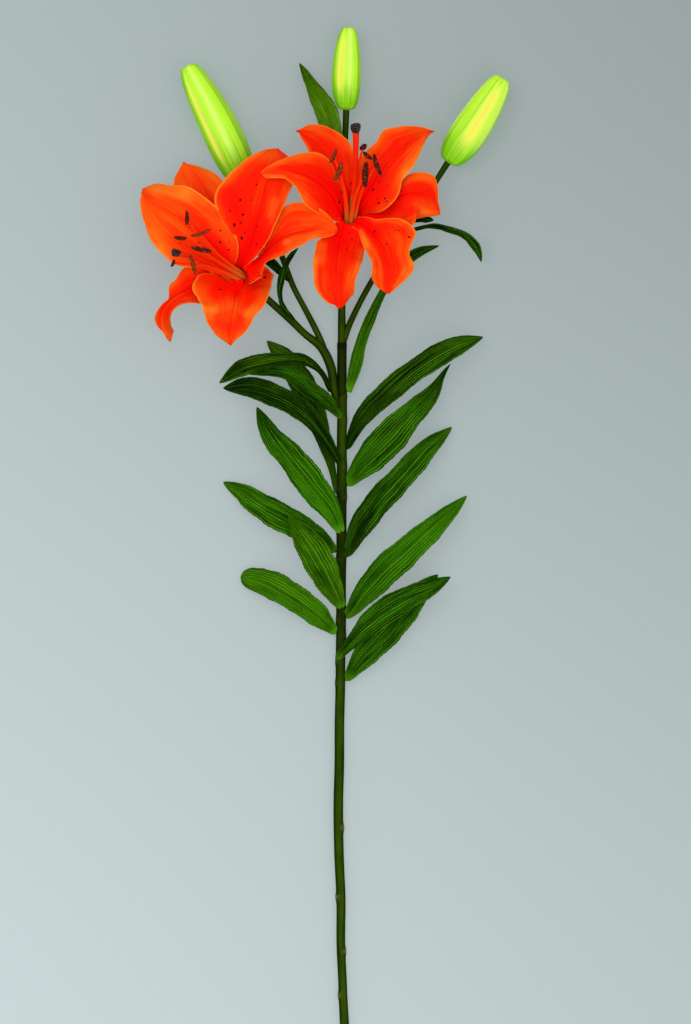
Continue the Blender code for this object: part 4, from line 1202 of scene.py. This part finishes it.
def add_stalk(name, rows, finish, spacing=2.0, sides=28, marks=()):
    """A stem or stalk: a ridged tube, with marks that swell and colour it."""
    rows = np.array(rows, float)
    length = np.linalg.norm(np.diff(rows[:, :3], axis=0), axis=1).sum()
    line, out, over, radius, angle = tube_grid(rows, int(length / spacing) + 2, sides)
    size = radius[:, None] * (1 + 0.025 * np.cos(5 * angle + 1) + 0.015 * np.cos(3 * angle))
    y = line[:, 1:2]
    size = size + 0.12 * np.sin(y / 9.0) * np.cos(angle - 0.6)
    scar = np.zeros(size.shape)
    for place, side, swell, tint in marks:
        facing = bell((angle - (0 if side > 0 else math.pi) + math.pi) % TURN - math.pi, 0.9)
        size = size + swell * bell(y - place, 3.2) * facing
        scar = np.maximum(scar, tint * bell(y - place, 1.6) * facing)
    fields = tube_fields(y, angle, scar=scar, sleeve=0.0, blush=0.0, cut=0.0)
    if name == "centre_stalk":
        sleeve, rim = band(y, *SLEEVE), band(y, *SLEEVE_RIM)
        size = size + SLEEVE_MARK[0] * sleeve + SLEEVE_RIM_MARK[0] * rim
        fields["sleeve"] = SLEEVE_MARK[1] * sleeve + SLEEVE_RIM_MARK[1] * rim
    if name.endswith("flower_stalk"):
        share = np.linspace(0, 1, len(line))[:, None]
        fields["blush"] = smooth(share, 1 - BLUSH[0] / length, 1 - BLUSH[1] / length)
    if name == "stem":
        fields["cut"] = 1 - smooth(y, y.min() + 0.05, y.min() + 0.4)
    points = tube_points(line, out, over, size, angle)
    return add_piece(name, grid_mesh(name, points, True, fields), [finish], name)


class LILY_OT_stems(bpy.types.Operator):
    """Add the stem with its old leaf scars and the five stalks."""

    bl_idname = "lily.stems"
    bl_label = "Stem and stalks"

    def execute(self, context):
        finish = stem_finish(context.scene.lily_stem)
        marks = [(y, side, *SCAR_MARK) for y, side in SCARS]
        for name, stations in LEAVES.items():
            if name.startswith(("leaf_left", "leaf_right")):
                foot = stations[0][1] - LEAF_MARK_DROP
                marks.append((foot, 1 if "right" in name else -1, *LEAF_MARK))
        add_stalk("stem", [(x, y, STEM_HEIGHT, r) for x, y, r in STEM], finish, marks=marks)
        add_stalk("centre_stalk", CENTRE_STALK, finish, spacing=1.0)
        add_stalk("left_bud_stalk", LEFT_BUD_STALK, finish)
        add_stalk("right_bud_stalk", RIGHT_BUD_STALK, finish)
        for side, flower in FLOWERS.items():
            throat, axis, _, _ = flower_frame(flower)
            rows = list(flower["stalk"]) + [(*(throat - axis * back), r) for back, r in RECEPTACLE]
            add_stalk(side + "_flower_stalk", rows, finish, spacing=1.5)
        return {"FINISHED"}


class LILY_OT_leaves(bpy.types.Operator):
    """Add the leaves of the stem and the small leaves under the flowers."""

    bl_idname = "lily.leaves"
    bl_label = "Leaves"

    def execute(self, context):
        settings = context.scene.lily_leaf
        finishes = [
            leaf_finish("Leaf top", settings, 0.0), leaf_finish("Leaf underside", settings, 0.12)]
        relief = leaf_relief(settings.wave)
        small = leaf_relief(settings.wave * 0.3)
        for number, (name, stations) in enumerate(LEAVES.items()):
            bract = name.startswith("bract")
            add_blade(
                name, finishes, stations, LEAF_GRID, small if bract else relief,
                settings.thickness, seed=11 + number, shade=LEAF_SHADES[name],
                olive=LEAF_OLIVES.get(name, 0.0), roll=LEAF_ROLLS.get(name, (0, 0)), cup=LEAF_CUP,
                tip=LEAF_TIPS.get(name, BLADE_TIP), round_base=not bract)
        return {"FINISHED"}


class LILY_OT_petals(bpy.types.Operator):
    """Add the six tepals of each flower, three inside three."""

    bl_idname = "lily.petals"
    bl_label = "Petals"

    def execute(self, context):
        settings = context.scene.lily_petal
        finishes = [
            petal_finish("Petal top", settings, 0.0), petal_finish("Petal underside", settings, 0.2)]
        relief = tepal_relief(settings.wave)
        seed = 101
        for flower in FLOWERS.values():
            throat, axis, _, _ = flower_frame(flower)
            for name, (whorl, angle, roll, cup, tip, stations) in flower["tepals"].items():
                out = around(flower, angle)
                claw = throat + out * CLAW_RADIUS[whorl] - axis * 0.5
                neck = throat + out * THROAT_RADIUS[whorl] + axis * THROAT_DEPTH
                widths = NECKS.get(name, (THROAT_HALF_WIDTH[whorl],) * 2)
                rows = [(*claw, CLAW_HALF_WIDTH, CLAW_HALF_WIDTH), (*neck, *widths), *stations]
                add_blade(
                    name, finishes, rows, TEPAL_GRID, relief, settings.thickness, seed,
                    shade=(TEPAL_SHADES.get(name, 0.0),) * 2, roll=roll, cup=cup,
                    side=np.cross(axis, out), tip=tip, sweep=SWEEPS.get(name, (0, 0)),
                    wrap=[-out * size for size in WRAPS.get(name, (0, 0))])
                seed += 1
        return {"FINISHED"}


class LILY_OT_spots(bpy.types.Operator):
    """Add the small raised spots that lie on the petals."""

    bl_idname = "lily.spots"
    bl_label = "Spots"

    def execute(self, context):
        settings = context.scene.lily_petal
        finish = spot_finish(settings)
        eye = Vector(camera_place(context.scene.lily_stage))
        polar = np.linspace(0, math.pi, SPOT_RINGS + 1)[:, None]
        turn = np.linspace(0, TURN, SPOT_SIDES, endpoint=False)
        ball = [np.sin(polar) * np.sin(turn), np.sin(polar) * np.cos(turn), np.cos(polar) + 0 * turn]
        ball = np.stack(ball, -1) / 2
        for side, flower in FLOWERS.items():
            trees = []
            for name in flower["tepals"]:
                petal = bpy.data.objects[name + "_skin"].data
                points = [vertex.co for vertex in petal.vertices]
                trees.append(BVHTree.FromPolygons(points, [face.vertices for face in petal.polygons]))
            bm = bmesh.new()
            draw = random.Random(side)
            for pixel_x, pixel_y, length in SPOT_PIXELS[side]:
                x, y = on_plan(pixel_x, pixel_y)
                aim = (Vector((x * MM, y * MM, 0.0)) - eye).normalized()
                hits = [hit for hit in (tree.ray_cast(eye, aim) for tree in trees) if hit[0] is not None]
                if not hits:
                    raise RuntimeError(f"no petal of the {side} flower under {pixel_x}, {pixel_y}")
                place, normal = min(hits, key=lambda hit: hit[3])[:2]
                if normal.z < 0:
                    normal = -normal
                outward = place - Vector(flower["throat"]) * MM
                grain = (outward - normal * outward.dot(normal)).normalized()
                across = normal.cross(grain) * draw.uniform(*SPOT_WIDTHS)
                shape = np.array([grain, across, normal * SPOT_HEIGHT]) * (length * SPOT_SCALE)
                centre = np.array(place + normal * settings.thickness / 2) / MM
                add_rings(bm, ball @ shape + centre, 0)
            mesh = bpy.data.meshes.new(side + "_spots")
            close_mesh(bm, mesh)
            add_piece(side + "_spots", mesh, [finish])
        return {"FINISHED"}


class LILY_OT_buds(bpy.types.Operator):
    """Add the three closed buds."""

    bl_idname = "lily.buds"
    bl_label = "Buds"

    def execute(self, context):
        finish = bud_finish(context.scene.lily_bud)
        places = (1 - np.cos(np.linspace(0, math.pi, BUD_RINGS))) / 2
        u = places[:, None]
        fade = smooth(u, 0.03, 0.2)
        sizes = spline([(place, 0.0, 0.0, size) for place, size in BUD_PROFILE], places)[:, 3:]
        angle = np.linspace(0, TURN, BUD_SIDES, endpoint=False)
        for name, (base, tip, radius, seam_turn, crease_turn, width, bow) in BUDS.items():
            base, tip = np.array(base), np.array(tip)
            axis = unit(tip - base)
            over = unit(np.array((0.0, 0.0, 1.0)) - axis * axis[2])
            out = np.cross(over, axis)
            line = base + (tip - base) * u - out * (bow * np.sin(math.pi * u))
            turned = angle - math.radians(seam_turn)
            third = turned % (TURN / 3)
            near = np.minimum(third, TURN / 3 - third)
            facing = np.abs((turned + math.pi) % TURN - math.pi)
            fold = math.radians(crease_turn - seam_turn)
            seam = bell(near, width) * (1 - 0.6 * smooth(facing, 1.0, 1.3))
            keel = bell(third - fold / 2, 0.16)
            crease = bell(third - fold, 0.045)
            size = radius * sizes * (1 + 0.05 * np.cos(3 * turned + math.pi) * fade)
            size = size - radius * 0.035 * bell(near, 0.09) * fade
            size = size + radius * (0.03 * keel - 0.012 * crease) * fade
            size = size - radius * 0.15 * bell(near, 0.16) * smooth(u, 0.86, 0.97)
            fields = tube_fields(
                u, angle,
                seam=seam * smooth(u, 0.08, 0.4) * (1 - 0.7 * smooth(u, 0.75, 1.0)),
                # where the painted highlight of each keel lies
                keel=keel * smooth(u, 0.1, 0.4),
                # where the painted shade of each crease lies
                crease=crease * smooth(u, 0.1, 0.4),
                # painted shade on the bud's flanks
                side=smooth(np.abs(np.cos(angle)), 0.60, 1.0)[None])
            outs, overs = np.tile(out, (BUD_RINGS, 1)), np.tile(over, (BUD_RINGS, 1))
            points = tube_points(line, outs, overs, size, angle)
            add_piece(name, grid_mesh(name, points, True, fields), [finish], name)
        return {"FINISHED"}


class LILY_OT_pistils(bpy.types.Operator):
    """Add the ovary, style and three-lobed stigma of each flower."""

    bl_idname = "lily.pistils"
    bl_label = "Pistils"

    def execute(self, context):
        skin, head = style_finish(), stigma_finish()
        u = np.linspace(0, 1, PISTIL_RINGS)[:, None]
        radii = np.interp(u, *zip(*PISTIL_PROFILE))
        lobes = smooth(u, 0.88, 0.95)
        for side, flower in FLOWERS.items():
            rows = [(*flower["throat"], OVARY_RADIUS)]
            rows += [(*place, STYLE_RADIUS) for place in flower["pistil"]]
            line, out, over, _, angle = tube_grid(rows, PISTIL_RINGS, PISTIL_SIDES)
            ridges = np.cos(3 * angle)
            size = radii * (1 + lobes * (flower["stigma"] - 1))
            size = size * (1 + lobes * 0.16 * np.cos(3 * angle + 0.5) + 0.05 * (1 - lobes) * ridges)
            size = size * (1 - 0.07 * (1 - smooth(u, 0.24, 0.34)) * np.abs(ridges))
            name = side + "_pistil"
            points = tube_points(line, out, over, size, angle)
            mesh = grid_mesh(name, points, True, tube_fields(u, angle))
            obj = add_piece(name, mesh, [skin, head], name)
            along = mesh.attributes["along"].data
            for face in mesh.polygons:
                if sum(along[i].value for i in face.vertices) / len(face.vertices) > STIGMA_START:
                    face.material_index = 1
            grain = obj.modifiers.new("Grain", "SUBSURF")
            grain.levels = grain.render_levels = 1
        return {"FINISHED"}


def anther_mesh(bm, end_a, end_b, width, rise, seed):
    """A pollen sac: two long lobes side by side with a furrow between, gently bowed and rough."""
    end_a, end_b = np.array(end_a, float), np.array(end_b, float)
    length = np.linalg.norm(end_b - end_a)
    along = (end_b - end_a) / length
    out = unit(np.cross(along, rise))
    over = np.cross(out, along)
    t = (1 - np.cos(np.linspace(0, math.pi, ANTHER_RINGS))) / 2
    angle = np.linspace(0, TURN, ANTHER_SIDES, endpoint=False)
    body = (4 * t * (1 - t)) ** 0.42
    draw = random.Random(seed)
    rough = np.array([[draw.uniform(-1, 1) for _ in angle] for _ in t])
    across = np.cos(angle)
    upward = np.sin(angle) * (0.72 + 0.28 * np.abs(np.cos(angle)))
    size = width / 2 * body[:, None] * (1 + 0.05 * rough)
    bow = -0.06 * length * (1 - (2 * t - 1) ** 2)
    line = end_a + (end_b - end_a) * t[:, None] + over * (bow - bow.mean())[:, None]
    points = line[:, None] + (out * (size * across)[..., None]) + (over * (size * upward)[..., None])
    add_rings(bm, points, 1)


class LILY_OT_stamens(bpy.types.Operator):
    """Add six stamens to each flower: a tapered filament that carries a pollen sac."""

    bl_idname = "lily.stamens"
    bl_label = "Stamens"

    def execute(self, context):
        filament = filament_finish()
        pollen = [anther_finish(name, *colours) for name, colours in POLLEN.items()]
        t = np.linspace(0, 1, 9)[:, None]
        wide, loss = FILAMENT_RADIUS
        for side, flower in FLOWERS.items():
            throat, axis, _, _ = flower_frame(flower)
            for number, (angle, end_a, end_b, width, ruddy) in enumerate(flower["stamens"], 1):
                name = f"{side}_stamen_{number}"
                foot = throat + around(flower, angle) * STAMEN_RING
                centre = (np.array(end_a) + np.array(end_b)) / 2
                knee = foot + axis * (FILAMENT_KNEE * np.linalg.norm(centre - foot))
                curve = foot * (1 - t) ** 2 + knee * (2 * t * (1 - t)) + centre * t**2
                rows = [(*point, wide - loss * share**0.7) for point, share in zip(curve, t[:, 0])]
                line, out, over, radius, turn = tube_grid(rows, FILAMENT_RINGS, FILAMENT_SIDES)
                points = tube_points(line, out, over, radius[:, None], turn)
                along = np.linspace(0, 1, FILAMENT_RINGS)[:, None]
                mesh = grid_mesh(name, points, True, tube_fields(along, turn))
                bm = bmesh.new()
                bm.from_mesh(mesh)
                anther_mesh(bm, end_a, end_b, width, centre - knee, seed=number)
                close_mesh(bm, mesh)
                add_piece(name, mesh, [filament, pollen[ruddy]], name)
        return {"FINISHED"}


def camera_place(settings):
    """The camera's place: over the middle of the photograph."""
    x, y = on_plan(PHOTO_SIZE[0] / 2, PHOTO_SIZE[1] / 2)
    return x * MM, y * MM, settings.height


def add_light(name, place, size, power):
    """A large square light that shines on the middle of the spray."""
    light = bpy.data.lights.new(name, "AREA")
    light.energy = power
    light.size = size
    obj = bpy.data.objects.new(name, light)
    obj.location = place
    obj.rotation_euler = (Vector(LIGHT_AIM) - obj.location).to_track_quat("-Z", "Y").to_euler()
    bpy.context.scene.collection.objects.link(obj)


class LILY_OT_stage(bpy.types.Operator):
    """Add the floor, the soft light and the camera that looks straight down."""

    bl_idname = "lily.stage"
    bl_label = "Stage"

    def execute(self, context):
        scene = context.scene
        settings = scene.lily_stage
        bm = bmesh.new()
        bmesh.ops.create_grid(bm, x_segments=1, y_segments=1, size=FLOOR_HALF)
        mesh = bpy.data.meshes.new("floor")
        bm.to_mesh(mesh)
        bm.free()
        mesh.materials.append(floor_finish(settings))
        floor = bpy.data.objects.new("floor", mesh)
        scene.collection.objects.link(floor)
        for name, (place, size, share) in LIGHTS.items():
            add_light(name, place, size, settings.key * share)
        world = bpy.data.worlds.new("Studio")
        scene.world = world
        world.use_nodes = True
        sky = world.node_tree.nodes["Background"]
        sky.inputs["Color"].default_value = SKY_COLOUR
        sky.inputs["Strength"].default_value = SKY_STRENGTH
        scene.view_settings.view_transform = "Standard"
        camera = bpy.data.cameras.new("camera")
        camera.sensor_width = SENSOR
        camera.lens = SENSOR * settings.height / (PHOTO_SIZE[1] * PIXEL * MM)
        camera.clip_end = CAMERA_REACH * settings.height
        eye = bpy.data.objects.new("camera", camera)
        eye.location = camera_place(settings)
        scene.collection.objects.link(eye)
        scene.camera = eye
        return {"FINISHED"}


class LILY_PT_panel(bpy.types.Panel):
    """Lists the steps that build the spray."""

    bl_idname = "LILY_PT_panel"
    bl_label = "Tiger lily spray"
    bl_space_type = "VIEW_3D"
    bl_region_type = "UI"
    bl_category = "Lily"

    def draw(self, context):
        for operator in OPERATORS:
            self.layout.operator(operator.bl_idname)
        for group in SETTINGS:
            settings = getattr(context.scene, group)
            box = self.layout.box()
            for key in settings.__annotations__:
                box.prop(settings, key)


OPERATORS = (
    LILY_OT_stage, LILY_OT_stems, LILY_OT_leaves, LILY_OT_buds, LILY_OT_petals, LILY_OT_spots,
    LILY_OT_pistils, LILY_OT_stamens,
)
SETTINGS = {
    "lily_stem": StemSettings,
    "lily_leaf": LeafSettings,
    "lily_petal": PetalSettings,
    "lily_bud": BudSettings,
    "lily_stage": StageSettings,
}
CLASSES = (*SETTINGS.values(), *OPERATORS, LILY_PT_panel)


def register():
    for cls in CLASSES:
        bpy.utils.register_class(cls)
    for key, group in SETTINGS.items():
        setattr(bpy.types.Scene, key, PointerProperty(type=group))


def unregister():
    for key in SETTINGS:
        delattr(bpy.types.Scene, key)
    for cls in reversed(CLASSES):
        bpy.utils.unregister_class(cls)


def main():
    register()
    for operator in OPERATORS:
        group, name = operator.bl_idname.split(".")
        getattr(getattr(bpy.ops, group), name)()


if __name__ == "__main__":
    main()
